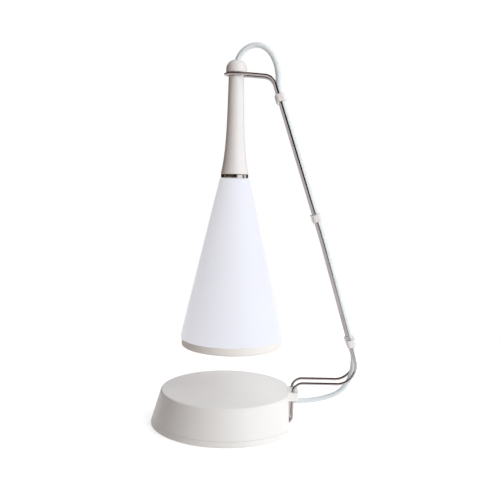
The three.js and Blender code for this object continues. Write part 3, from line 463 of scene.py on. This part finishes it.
def taken(thing):
    """The mesh of an object with its modifiers applied, and the object removed"""
    bpy.context.view_layer.update()
    data = bpy.data.meshes.new_from_object(thing.evaluated_get(bpy.context.evaluated_depsgraph_get()))
    mesh = bmesh.new()
    mesh.from_mesh(data)
    bpy.data.objects.remove(thing)
    bpy.data.meshes.remove(data)
    return mesh


def carved(mesh, steps):
    """Adds, cuts or keeps what is shared with each (operation, mesh) in turn"""
    target = as_object(mesh)
    tools = []
    for operation, tool in steps:
        tools.append(as_object(tool, "tool"))
        boolean = target.modifiers.new("step", "BOOLEAN")
        boolean.operation = operation
        boolean.solver = "EXACT"
        boolean.object = tools[-1]
    result = taken(target)
    for tool in tools:
        bpy.data.objects.remove(tool)
    bmesh.ops.remove_doubles(result, verts=result.verts, dist=merge_distance)
    return result


def cut(mesh, *tools):
    return carved(mesh, [("DIFFERENCE", tool) for tool in tools])


def tube(points, radius, smooth, resolution=6):
    """A round rod along a line of points, straight between them or on one smooth curve"""
    curve = bpy.data.curves.new("route", "CURVE")
    curve.dimensions = "3D"
    curve.bevel_depth = radius
    curve.bevel_resolution = resolution
    curve.use_fill_caps = True
    spline = curve.splines.new("BEZIER" if smooth else "POLY")
    knots = spline.bezier_points if smooth else spline.points
    knots.add(len(points) - 1)
    for knot, point in zip(knots, points):
        if smooth:
            knot.co = point
            knot.handle_left_type = knot.handle_right_type = "AUTO"
        else:
            knot.co = (*point, 1)
    spline.resolution_u = 6
    made = bpy.data.objects.new("route", curve)
    bpy.context.scene.collection.objects.link(made)
    return merged(taken(made))


def finished(name, mesh, finish, body, stands_for, x=0.0, crease=35):
    """Turns a shape to metres, shades it smooth up to the crease angle, gives it its finish and its body"""
    moved(mesh, x)
    bmesh.ops.scale(mesh, vec=(MM, MM, MM), verts=mesh.verts)
    piece = as_object(mesh, name)
    piece.data.shade_smooth()
    piece.data.set_sharp_from_angle(angle=math.radians(crease))
    piece.data.materials.append(finish)
    even = piece.modifiers.new("even_normals", "WEIGHTED_NORMAL")
    even.keep_sharp = True
    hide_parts(*stands_for)
    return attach(piece, body) if body else piece


# Base

def casing_radius(height):
    return base_bottom_radius + (base_top_radius - base_bottom_radius) * height / base_height


def tapered_disc(margin, low, high):
    """The base's tapered disc with its flat side, taken in all round by a margin"""
    mesh = rod(casing_radius(low) - margin, (0, 0, low), (0, 0, high), WIDE, casing_radius(high) - margin)
    split = bmesh.ops.bisect_plane(mesh, geom=mesh.verts[:] + mesh.edges[:] + mesh.faces[:],
                                   plane_co=(flat_x - margin, 0, 0), plane_no=(1, 0, 0), clear_outer=True)
    rim = [e for e in split["geom_cut"] if isinstance(e, bmesh.types.BMEdge)]
    bmesh.ops.edgeloop_fill(mesh, edges=rim)
    bmesh.ops.recalc_face_normals(mesh, faces=mesh.faces)
    return mesh


def around(circle):
    """The four places of the base screws"""
    turns = [math.radians(degrees) for degrees in (45, 135, 225, 315)]
    return [(circle * math.cos(a), circle * math.sin(a)) for a in turns]


def slot_shape(half_width, half_height, low, high, x, z, corner):
    """A rounded bar that runs from low to high along Y"""
    return moved(block((-half_width, low, -half_height), (half_width, high, half_height), corner, 1), x, 0, z)


def make_casing():
    """The casing with its recess at the back, its screw bosses and the holes in its flat side"""
    top_round, flat_round = 0.9, 0.25
    boss_wall, pilot_depth = 1.6, 8
    frame_margin, frame_drop = 0.4, 0.5
    cut_start, cut_end, flat_cut_end = 30, 60, 50
    recess_corner, inlet_corner = 1, 1.7
    switch_half, switch_rise, grommet_hole = 2.55, 1.1, 2.65

    outer = tapered_disc(0, shell_bottom, base_height)
    on_flat = {v for v in outer.verts if v.co.x > flat_x - hair}
    rim = [e for e in sharp_edges(outer, 40) if min(v.co.z for v in e.verts) > base_height - near
           and not set(e.verts) <= on_flat]
    rounded(outer, rim, top_round, 6)
    rounded(outer, [e for e in sharp_edges(outer, 25) if min(v.co.x for v in e.verts) > flat_x - hair
                    and max(v.co.z for v in e.verts) > shell_bottom + near], flat_round, 3)

    side = recess_half + recess_panel
    frame_block = block((-side, recess_face - recess_panel, recess_bottom - recess_panel),
                        (side, base_bottom_radius, ceiling + gap))
    frame_limit = tapered_disc(frame_margin, shell_bottom, base_height - frame_drop)
    frame_block = carved(frame_block, [("INTERSECT", frame_limit)])
    screws = around(screw_circle)
    bosses = [("UNION", rod(screw_shank + boss_wall, (x, y, floor_top + gap), (x, y, ceiling + gap)))
              for x, y in screws]
    pilots = [rod(screw_shank, (x, y, 0), (x, y, floor_top + gap + pilot_depth)) for x, y in screws]
    shell = carved(outer, [("DIFFERENCE", tapered_disc(shell_wall, shell_bottom - overrun, ceiling)),
                           ("UNION", frame_block), *bosses])

    middle = (recess_bottom + recess_top) / 2
    half = (recess_top - recess_bottom) / 2
    windows = [slot_shape(recess_half, half, recess_face, cut_end, 0, middle, recess_corner),
               slot_shape(inlet_width / 2 + gap, inlet_height / 2 + gap, cut_start, cut_end,
                          inlet_x, inlet_z, inlet_corner),
               block((switch_x - switch_half, cut_start, switch_z - switch_rise),
                     (switch_x + switch_half, cut_end, switch_z + switch_rise)),
               rod(grommet_hole, (cut_start, 0, lead_entry), (flat_cut_end, 0, lead_entry))]
    flat_holes = [rod(bracket_screw_radius, (cut_start, y, bracket_screw_z),
                      (flat_cut_end, y, bracket_screw_z)) for y in (-bracket_screw_y, bracket_screw_y)]
    return cut(shell, *windows, *flat_holes, *pilots)


def make_bottom_plate():
    """The underplate with its lip and board posts, and with room for the toes, the screws and the pad"""
    edge_round, pad_margin, toe_roof = 0.5, 0.2, 2
    post_radius, post_top = 2.4, 7.1
    screw_way_top, screw_seat = 6, 2
    post_pilot, post_pilot_bottom, post_pilot_top = 1.2, 3.7, 9
    ballast_pilot, ballast_pilot_bottom, ballast_pilot_top = 1.5, 1.8, 6

    plate = tapered_disc(0, plate_bottom, skirt_top)
    lower = [e for e in sharp_edges(plate, 40) if max(v.co.z for v in e.verts) < plate_bottom + near]
    rounded(plate, lower, edge_round, 4)

    margin = shell_wall + gap
    lip = cut(tapered_disc(margin, floor_top - gap, floor_top + lip_height),
              tapered_disc(margin + lip_wall, floor_top - overrun, floor_top + lip_height + overrun))
    floor_cut = rod(casing_radius(floor_top) - margin + hair, (0, 0, floor_top),
                    (0, 0, skirt_top + overrun), WIDE)
    toe_half = wire_spread + wire_radius + gap + lip_wall
    toe_top = toe_height + wire_radius + gap
    toe_block = block((toe_x - gap - lip_wall, -toe_half, floor_top - gap),
                      (flat_x - margin, toe_half, toe_top + toe_roof))
    posts = [("UNION", rod(post_radius, (x, y, floor_top - gap), (x, y, post_top))) for x, y in post_places]
    body = carved(plate, [("DIFFERENCE", floor_cut), ("UNION", lip), ("UNION", toe_block), *posts])

    grooves = [block((toe_x - gap, y - wire_radius - gap, -overrun),
                     (flat_x + overrun, y + wire_radius + gap, toe_top)) for y in (-wire_spread, wire_spread)]
    ways = [tool for x, y in around(screw_circle) for tool in
            (rod(screw_shank + gap, (x, y, -overrun), (x, y, screw_way_top)),
             rod(screw_head + gap, (x, y, -overrun), (x, y, screw_seat)))]
    pilots = [rod(post_pilot, (x, y, post_pilot_bottom), (x, y, post_pilot_top)) for x, y in post_places]
    pilots += [rod(ballast_pilot, (x, y, ballast_pilot_bottom), (x, y, ballast_pilot_top))
               for x, y in ballast_screw_places]
    pad_recess = rod(pad_radius + pad_margin, (0, 0, -overrun), (0, 0, pad_top + gap), WIDE)
    return cut(body, pad_recess, *grooves, *ways, *pilots)


def make_pad():
    return turned([(0, 0), (pad_radius, 0, 0.3), (pad_radius, pad_top), (0, pad_top)], WIDE, closed=False)


def make_inlet():
    """The inlet's metal mouth with its tongue"""
    wall, mouth_depth, outer_corner, inner_corner, mouth_round = 0.35, 5.6, 1.5, 1.2, 0.1
    tongue_half, tongue_rise, tongue_root, tongue_setback = 3.35, 0.35, 0.2, 1.05
    front = recess_face - gap
    low = front - inlet_depth
    shell = cut(slot_shape(inlet_width / 2, inlet_height / 2, low, front, inlet_x, inlet_z, outer_corner),
                slot_shape(inlet_width / 2 - wall, inlet_height / 2 - wall, front - mouth_depth,
                           front + overrun, inlet_x, inlet_z, inner_corner))
    mouth = [e for e in sharp_edges(shell, 60) if min(v.co.y for v in e.verts) > front - hair]
    rounded(shell, mouth, mouth_round, 2)
    tongue = block((inlet_x - tongue_half, low + tongue_root, inlet_z - tongue_rise),
                   (inlet_x + tongue_half, front - tongue_setback, inlet_z + tongue_rise), 0.2, 0)
    return carved(shell, [("UNION", tongue)])


def make_contacts():
    """The gilded strips on both faces of the inlet's tongue"""
    count, pitch, size, setback, rise = 12, 0.5, (0.26, 3.6, 0.06), 3.4, 0.36
    mesh = bmesh.new()
    for i in range(count):
        x = inlet_x + pitch * (i - (count - 1) / 2)
        for side in (-1, 1):
            strip = bmesh.ops.create_cube(mesh, size=1)["verts"]
            bmesh.ops.scale(mesh, vec=size, verts=strip)
            bmesh.ops.translate(mesh, vec=(x, recess_face - setback, inlet_z + side * rise), verts=strip)
    return mesh


def make_slider():
    """The switch's slider with three grooves for the fingertip"""
    foot_half, foot_rise, foot_back, foot_front = 1.8, 1, 38.5, 39.7
    nib_half, nib_rise, nib_back, nib_front = 1, 0.8, 39.2, 44.2
    groove_half, groove_pitch, groove_floor, groove_end = 0.14, 0.45, 43.95, 46
    foot = block((slider_x - foot_half, foot_back, switch_z - foot_rise),
                 (slider_x + foot_half, foot_front, switch_z + foot_rise), 0.15, 1)
    nib = block((slider_x - nib_half, nib_back, switch_z - nib_rise),
                (slider_x + nib_half, nib_front, switch_z + nib_rise), 0.2, 1, 0.12)
    middles = [slider_x + i * groove_pitch for i in (-1, 0, 1)]
    grooves = [block((x - groove_half, groove_floor, switch_z - overrun),
                     (x + groove_half, groove_end, switch_z + overrun)) for x in middles]
    return cut(carved(foot, [("UNION", nib)]), *grooves)


# Arm

def bent(corners, step=math.radians(5)):
    """Rounds the corners of a line of (x, z, bend radius) and gives its points in X and Z"""
    points = [Vector(corner[:2]) for corner in corners]
    line = [points[0]]
    for before, here, after, corner in zip(points, points[1:], points[2:], corners[1:]):
        back, ahead = (before - here).normalized(), (after - here).normalized()
        turn = math.pi - back.angle(ahead)
        radius = corner[2]
        centre = here + (back + ahead).normalized() * (radius / math.cos(turn / 2))
        first = here + back * (radius * math.tan(turn / 2)) - centre
        way = math.copysign(1, back.y * ahead.x - back.x * ahead.y)
        steps = max(2, math.ceil(turn / step))
        for i in range(steps + 1):
            line.append(centre + Matrix.Rotation(way * turn * i / steps, 2) @ first)
    return line + [points[-1]]


def make_wire():
    """Both legs and the loop at the hook, bent from one wire"""
    loop_steps = 40
    side = bent(arm_corners)
    front = [(p.x, -wire_spread, p.y) for p in side]
    rear = [(p.x, wire_spread, p.y) for p in reversed(side)]
    end_x, end_z = side[-1]
    loop = [(end_x - wire_spread * math.sin(a), -wire_spread * math.cos(a), end_z)
            for a in (math.pi * i / loop_steps for i in range(1, loop_steps))]
    return tube(front + loop + rear, wire_radius, smooth=False, resolution=7)


def make_bracket():
    """The block on the flat side that the arm's legs pass through, notched over the lead"""
    corner_round, edge_round = 1.2, 0.4
    way_low, way_high = 10, 30
    notch_half, notch_corner, screw_depth = 2, 1.9, 2.9
    head = block((bracket_back, -bracket_half, bracket_low), (bracket_front, bracket_half, bracket_high))
    rounded(head, [e for e in edges_along(head, 2) if e.verts[0].co.x > leg_x], corner_round, 6)
    level = [e for e in sharp_edges(head, 60) if max(v.co.x for v in e.verts) > bracket_back + near
             and abs(e.verts[0].co.z - e.verts[1].co.z) < near]
    rounded(head, level, edge_round)
    ways = [rod(wire_way, (leg_x, y, way_low), (leg_x, y, way_high)) for y in (-wire_spread, wire_spread)]
    notch = block((bracket_back - overrun, -notch_half, lead_entry - notch_half),
                  (bracket_back + bracket_reach + overrun, notch_half, lead_entry + notch_half),
                  notch_corner, 0)
    screws = [rod(bracket_screw_radius, (bracket_back - overrun, y, bracket_screw_z),
                  (bracket_back + screw_depth, y, bracket_screw_z))
              for y in (-bracket_screw_y, bracket_screw_y)]
    return cut(head, *ways, notch, *screws)


def make_strap():
    """The flat strap and toe under the bracket that the arm's legs stand against"""
    strap_half, strap_bottom, strap_front = 7.2, 5.9, 42.9
    toe_half, toe_bottom, toe_top, toe_front, toe_round = 4.4, 2.6, 7.4, 43.1, 0.8
    strap = block((bracket_back, -strap_half, strap_bottom), (strap_front, strap_half, bracket_low),
                  0.6, 2, 0.2)
    toe = block((bracket_back, -toe_half, toe_bottom), (toe_front, toe_half, toe_top))
    lower_front = [e for e in sharp_edges(toe, 60) if max(v.co.z for v in e.verts) < toe_bottom + near
                   and max(v.co.x for v in e.verts) > toe_front - near]
    rounded(toe, lower_front, toe_round, 4)
    return carved(strap, [("UNION", toe)])


def clip_place(height):
    """Where a clip sits on the arm, and how far the wire leans there in degrees"""
    end_x, end_z = (crest_x, crest_height) if height > knee_height else (heel_x, run_height)
    slope = (end_x - knee_x) / (end_z - knee_height)
    return knee_x + (height - knee_height) * slope, height, math.degrees(math.atan(slope))


def make_clip(height, latch):
    """A clip drawn upright at the origin and then leant onto the wires"""
    corner_round, edge_round, slit_half, slit_start, way_end, lead_play = 1.9, 0.25, 0.5, -4, 9, 0.15
    tab_far, tab_near, tab_thickness, tab_overlap = -7.1, -2.1, 1, 0.3
    half = clip_length / 2
    body = block((-clip_inner, -clip_half, -half), (clip_outer, clip_half, half), corner_round, 2, edge_round)
    tab = block((-clip_inner, tab_far, -half - latch),
                (tab_thickness - clip_inner, tab_near, tab_overlap - half), 0.2, 0)
    sides = (-wire_spread, wire_spread)
    wires = [rod(wire_way, (0, y, -way_end), (0, y, way_end)) for y in sides]
    slits = [block((slit_start, y - slit_half, -way_end), (0, y + slit_half, way_end)) for y in sides]
    lead_way = rod(lead_radius + lead_play, (lead_offset, 0, -way_end), (lead_offset, 0, way_end))
    lead_slit = block((lead_offset, -slit_half, -way_end), (way_end, slit_half, way_end))
    clip = cut(carved(body, [("UNION", tab)]), *wires, *slits, lead_way, lead_slit)
    x, z, lean = clip_place(height)
    return moved(rotated(clip, lean, "Y"), x, 0, z)


def make_grommet():
    """The bush round the lead in the flat side, with its collar inside the wall"""
    bore, collar_radius, sleeve_radius = lead_radius + 0.1, 3.2, 2.5
    face, shoulder, back = flat_x - gap, flat_x - 2.5, flat_x - 3.4
    ring = turned([(bore, back), (collar_radius, back, 0.2), (collar_radius, shoulder, 0.2),
                   (sleeve_radius, shoulder), (sleeve_radius, face, 0.3), (bore, face)], SMALL)
    return moved(rotated(ring, 90, "Y"), 0, 0, lead_entry)


# Head

def make_dome():
    """The cap with its round crown, the stem's hole from below and the lead's hole at the top"""
    crown_steps, route_points_inside, lead_play = 24, 8, 0.12
    crown = [(cap_radius * math.cos(a), cap_bottom + cap_skirt + cap_crown * math.sin(a))
             for a in (math.pi / 2 * i / crown_steps for i in range(crown_steps + 1))]
    dome = turned([(0, cap_bottom), (cap_radius, cap_bottom, 0.5), *crown[:-1], (0, crown[-1][1])],
                  ROUND, closed=False)
    lead_way = moved(tube(lead_route[:route_points_inside], lead_radius + lead_play, smooth=True), -head_x)
    return cut(dome, rod(stem_way, (0, 0, cap_bottom - overrun), (0, 0, stem_way_top)), lead_way)


def neck_radius(share):
    """Tapers evenly at first and flares towards the trim"""
    taper_share, flare_power = 0.3, 4.3
    widened = taper_share * share + (1 - taper_share) * share ** flare_power
    return neck_top_radius + (neck_bottom_radius - neck_top_radius) * widened


def make_neck():
    steps = 32
    outer = [(neck_radius(i / steps), groove_bottom + (neck_bottom - groove_bottom) * i / steps)
             for i in range(steps + 1)]
    bore = spigot_radius - spigot_wall
    inner = [(r - neck_wall, z) for r, z in reversed(outer) if z < neck_ceiling and r < bore]
    return turned([(stem_way, neck_top), (groove_radius, neck_top, 0.3), (groove_radius, groove_bottom),
                   (*outer[0], 0.3), *outer[1:-1], (*outer[-1], 0.25), (spigot_radius, neck_bottom),
                   (spigot_radius, spigot_bottom, 0.4), (bore, spigot_bottom),
                   (bore, neck_bottom + neck_wall), *inner, (neck_top_radius - neck_wall, neck_ceiling),
                   (stem_way, neck_ceiling)], ROUND)


def make_trim():
    inner = spigot_radius + gap
    return turned([(inner, trim_top), (trim_radius, trim_top, 0.4), (trim_radius, trim_bottom, 0.4),
                   (inner, trim_bottom)], WIDE)


def cone_radius(height):
    share = (height - cone_bottom) / (cone_top - cone_bottom)
    return cone_bottom_radius + (cone_top_radius - cone_bottom_radius) * share


def make_shade():
    """The hollow cone, with a roof that sits round the spigot"""
    roof = 2
    under = cone_top - roof
    inner = spigot_radius + gap
    return turned([(inner, cone_top), (cone_top_radius, cone_top, 0.5),
                   (cone_bottom_radius, cone_bottom, 0.9), (cone_bottom_radius - cone_wall, cone_bottom),
                   (cone_radius(under) - cone_wall, under), (inner, under)], WIDE)


def make_rim():
    """The ring below the cone, with a collar that reaches up into it and a ledge under the lens"""
    ledge_width, ledge_height, collar_rise, collar_wall = 2, 1.2, 4, 1.6
    lip = cone_bottom_radius - cone_wall - gap
    inner = ring_radius - ring_wall
    lip_top = ring_top + collar_rise
    lip_top_radius = lip + cone_radius(lip_top) - cone_bottom_radius
    return turned([(lip, ring_top), (ring_radius, ring_top, 0.2), (ring_radius, ring_bottom, 1.2),
                   (inner - ledge_width, ring_bottom, 0.3), (inner - ledge_width, ring_bottom + ledge_height),
                   (inner, ring_bottom + ledge_height), (inner, ring_top),
                   (lip_top_radius - collar_wall, lip_top), (lip_top_radius, lip_top, 0.4)], WIDE)


def make_lens():
    return turned([(0, lens_bottom), (lens_radius, lens_bottom), (lens_radius, lens_top, 0.4), (0, lens_top)],
                  WIDE, closed=False)


finished("casing", make_casing(), white_abs, "base", ["base_shell"])
finished("underplate", make_bottom_plate(), white_abs, "base", ["bottom_plate"])
finished("pad", make_pad(), foam_pad, "base", ["foot_pad"])
finished("inlet", make_inlet(), nickel_plate, "base", ["power_inlet"])
finished("contacts", make_contacts(), gold_plate, "base", [])
finished("slider_cap", make_slider(), black_abs, "slider", ["switch_slider"])
finished("bracket", make_bracket(), white_abs, "base", ["arm_bracket"])
# The strap's grey finish is painted shade, for the shadow under the bracket
finished("strap", make_strap(), strap_painted_shade, "base", [])
finished("arm", make_wire(), polished_wire, "base", ["arm_wire"], crease=60)
for name, height, latch in clips:
    finished(f"clip_{name}", make_clip(height, latch), white_abs, "base",
             [f"cable_clip_{name}"])
finished("grommet", make_grommet(), nylon, "base", ["lead_grommet"])
lead = finished("lead", tube(lead_route, lead_radius, smooth=True), lead_pvc, None,
                ["lead_run", "lead_arch"], crease=60)
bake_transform(lead)
finished("dome", make_dome(), white_abs, "hang_cap", ["dome_cap"], head_x)
finished("neck", make_neck(), white_abs, "head", ["neck_shell"], head_x)
finished("trim", make_trim(), chrome_plate, "head", ["chrome_ring"], head_x)
finished("shade", make_shade(), opal_shade, "head", ["diffuser_cone"], head_x)
finished("rim", make_rim(), cream_abs, "head", ["lower_ring"], head_x)
finished("lens", make_lens(), frosted_acrylic, "head", ["bottom_lens"], head_x)

# The pieces inside keep their CAD shape and get their finish
inside = {
    zinc_plate: ["base_screw_", "ballast_screw_", "board_screw_", "bracket_screw_", "led_screw_",
                 "cap_stem", "stem_nut"],
    rolled_steel: ["ballast_plate"], foil_pouch: ["battery_cell"], green_board: ["main_board"],
    chip_epoxy: ["driver_chip"], nylon: ["lead_socket", "battery_socket"], black_abs: ["switch_body"],
    red_pvc: ["battery_wire_a", "lamp_wire_a"], black_pvc: ["battery_wire_b", "lamp_wire_b"],
    turned_aluminium: ["led_carrier"], white_board: ["led_board"],
    phosphor: [f"led_{i}" for i in (1, 2, 3, 4)],
}
for finish, names in inside.items():
    for name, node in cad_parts.items():
        if any(name == start or (start.endswith("_") and name.startswith(start)) for start in names):
            for holder in node.material_slots:
                holder.material = finish


# Studio

def place_lamp(name, place, target, size, watts, colour):
    data = bpy.data.lights.new(name, "AREA")
    data.shape = "DISK"
    data.size = size
    data.energy = watts
    data.color = linear(colour)[:3]
    lamp = bpy.data.objects.new(name, data)
    lamp.location = place
    lamp.rotation_euler = (Vector(target) - Vector(place)).to_track_quat("-Z", "Y").to_euler()
    bpy.context.scene.collection.objects.link(lamp)
    return lamp


def seen_by(tree):
    """Two values: 1 for rays from the eye, straight or through a clear piece, and 1 for rays of a gloss"""
    path = add_node(tree, "LightPath")
    seen = computed(tree, "MAXIMUM", path.outputs["Is Camera Ray"], path.outputs["Is Transmission Ray"])
    return seen, path.outputs["Is Glossy Ray"]


# What a gloss sees round the lamp, by degrees from the camera's side towards the right: dark walls with
# brown panels, a window of two panes on the right, and a white strip behind
room_walls = [(-176, "#E9E6E4"), (-172, "#4A3B30"), (-140, "#3A2D24"), (-99, "#15110D"), (-93, "#7A5A34"),
              (-80, "#7A5A34"), (-73, "#15120C"), (-30, "#17140D"), (-18, "#4A3C22"), (-6, "#17140D"),
              (17, "#17130F"), (33, "#F6F6F8"), (70, "#F8F8FA"), (75, "#2A201C"), (84, "#2A201C"),
              (90, "#F4F4F6"), (112, "#F4F4F6"), (118, "#241A17"), (140, "#241A17"), (150, "#5A4A43"),
              (172, "#6A5A53"), (176, "#FFFFFF")]

# Towards the window, where the soft fill is strongest
window_way = (0.8, -0.3, 0.52)


def set_world():
    """White to the eye, a soft fill that is brown from the left, and the room in a gloss"""
    world = bpy.data.worlds.new("studio")
    world.use_nodes = True
    tree = world.node_tree
    tree.nodes.clear()
    seen, gloss = seen_by(tree)
    way = add_node(tree, "TexCoord").outputs["Generated"]
    split = add_node(tree, "SeparateXYZ", sockets={"Vector": way})
    to_window = add_node(tree, "VectorMath", {"operation": "DOT_PRODUCT"}, {0: way, 1: window_way})
    share = add_node(tree, "MapRange", sockets={"Value": to_window.outputs["Value"], "From Min": -1.0,
                                                "From Max": 1.0}).outputs["Result"]
    warmth = eased(tree, share, 0.2, 0.7)
    fill_colour = mixed(tree, warmth, linear("#A87860"), linear("#FCFDFF"))
    fill = add_node(tree, "MapRange", sockets={"Value": share, "From Min": 0.28, "To Min": 0.03,
                                               "To Max": 1.0})
    fill_light = add_node(tree, "Background", sockets={"Color": fill_colour,
                                                       "Strength": fill.outputs["Result"]})
    front = computed(tree, "MULTIPLY", split.outputs["Y"], -1.0)
    round_way = computed(tree, "ARCTAN2", split.outputs["X"], front)
    turn = add_node(tree, "MapRange", sockets={"Value": round_way, "From Min": -math.pi,
                                               "From Max": math.pi}).outputs["Result"]
    walls = add_node(tree, "ValToRGB", sockets={"Fac": turn})
    for degrees, shade in room_walls:
        stop = walls.color_ramp.elements.new((degrees + 180) / 360)
        stop.color = linear(shade)
    walls.color_ramp.elements.remove(walls.color_ramp.elements[0])
    walls.color_ramp.elements.remove(walls.color_ramp.elements[-1])
    raised = eased(tree, split.outputs["Z"], 0.06, 0.16)
    rightwards = eased(tree, split.outputs["X"], 0.1, 0.3)
    above_window = computed(tree, "MULTIPLY", raised, rightwards)
    wall_colour = mixed(tree, above_window, walls.outputs["Color"], linear("#35261F"))
    overhead = eased(tree, split.outputs["Z"], 0.35, 0.85)
    room_colour = mixed(tree, overhead, wall_colour, linear("#785A48"))
    room_light = add_node(tree, "Background", sockets={"Color": room_colour, "Strength": 1.0})
    white = add_node(tree, "Background", sockets={"Color": linear("#FFFFFF"), "Strength": 1.0})
    lit = add_node(tree, "MixShader", sockets={0: gloss, 1: fill_light.outputs[0], 2: room_light.outputs[0]})
    shown = add_node(tree, "MixShader", sockets={0: seen, 1: lit.outputs[0], 2: white.outputs[0]})
    add_node(tree, "OutputWorld", sockets={"Surface": shown.outputs[0]})
    bpy.context.scene.world = world


def lay_floor():
    """A matt table, white to the eye, that fades into the white behind it and keeps the lamp's shadow.
    On its left side it bounces brown light."""
    mesh = bmesh.new()
    bmesh.ops.create_grid(mesh, x_segments=8, y_segments=8, size=6)
    floor = as_object(mesh, "table_top")
    material, tree = blank_material("laminate_matt_white")
    place = add_node(tree, "TexCoord").outputs["Object"]
    away = add_node(tree, "VectorMath", {"operation": "LENGTH"}, {0: place}).outputs["Value"]
    grain = add_node(tree, "TexNoise", sockets={"Vector": place, "Scale": per_metre(2.5), "Detail": 3.0})
    tone = mixed(tree, grain.outputs["Fac"], linear("#F0F0EF"), linear("#F6F6F5"))
    seen, gloss = seen_by(tree)
    any_seen = computed(tree, "MAXIMUM", seen, gloss)
    split = add_node(tree, "SeparateXYZ", sockets={"Vector": place})
    leftwards = eased(tree, split.outputs["X"], 0.1, -0.25)
    bounce = mixed(tree, leftwards, tone, linear("#A5836F"))
    colour = mixed(tree, any_seen, bounce, tone)
    matt = add_node(tree, "BsdfDiffuse", sockets={"Color": colour})
    lift = computed(tree, "MULTIPLY", any_seen, 0.5)
    glow = add_node(tree, "Emission", sockets={"Color": linear("#FFFFFF"), "Strength": lift})
    near_part = add_node(tree, "AddShader", sockets={0: matt.outputs[0], 1: glow.outputs[0]})
    far_part = add_node(tree, "Emission", sockets={"Color": linear("#FFFFFF"), "Strength": 1.0})
    fade = eased(tree, away, 0.06, 0.4)
    share = computed(tree, "MULTIPLY", any_seen, fade)
    shown = add_node(tree, "MixShader", sockets={0: share, 1: near_part.outputs[0], 2: far_part.outputs[0]})
    add_node(tree, "OutputMaterial", sockets={"Surface": shown.outputs[0]})
    floor.data.materials.append(material)


# Each lamp has its place, its target and its size in metres, then its watts and its colour
for soft in (place_lamp("window", (0.95, -1.05, 0.62), (0.01, 0, 0.11), 1.1, 8.0, "#FFFEFD"),
             place_lamp("back", (0.1, 1.25, 0.62), (0.01, 0, 0.11), 0.9, 6.2, "#FDFDFF")):
    soft.visible_glossy = False
place_lamp("skylight", (0.85, 0.25, 1.0), (0.01, 0, 0.05), 0.45, 1.2, "#FFFFFF")
set_world()
lay_floor()

bpy.context.scene.view_settings.view_transform = "Standard"
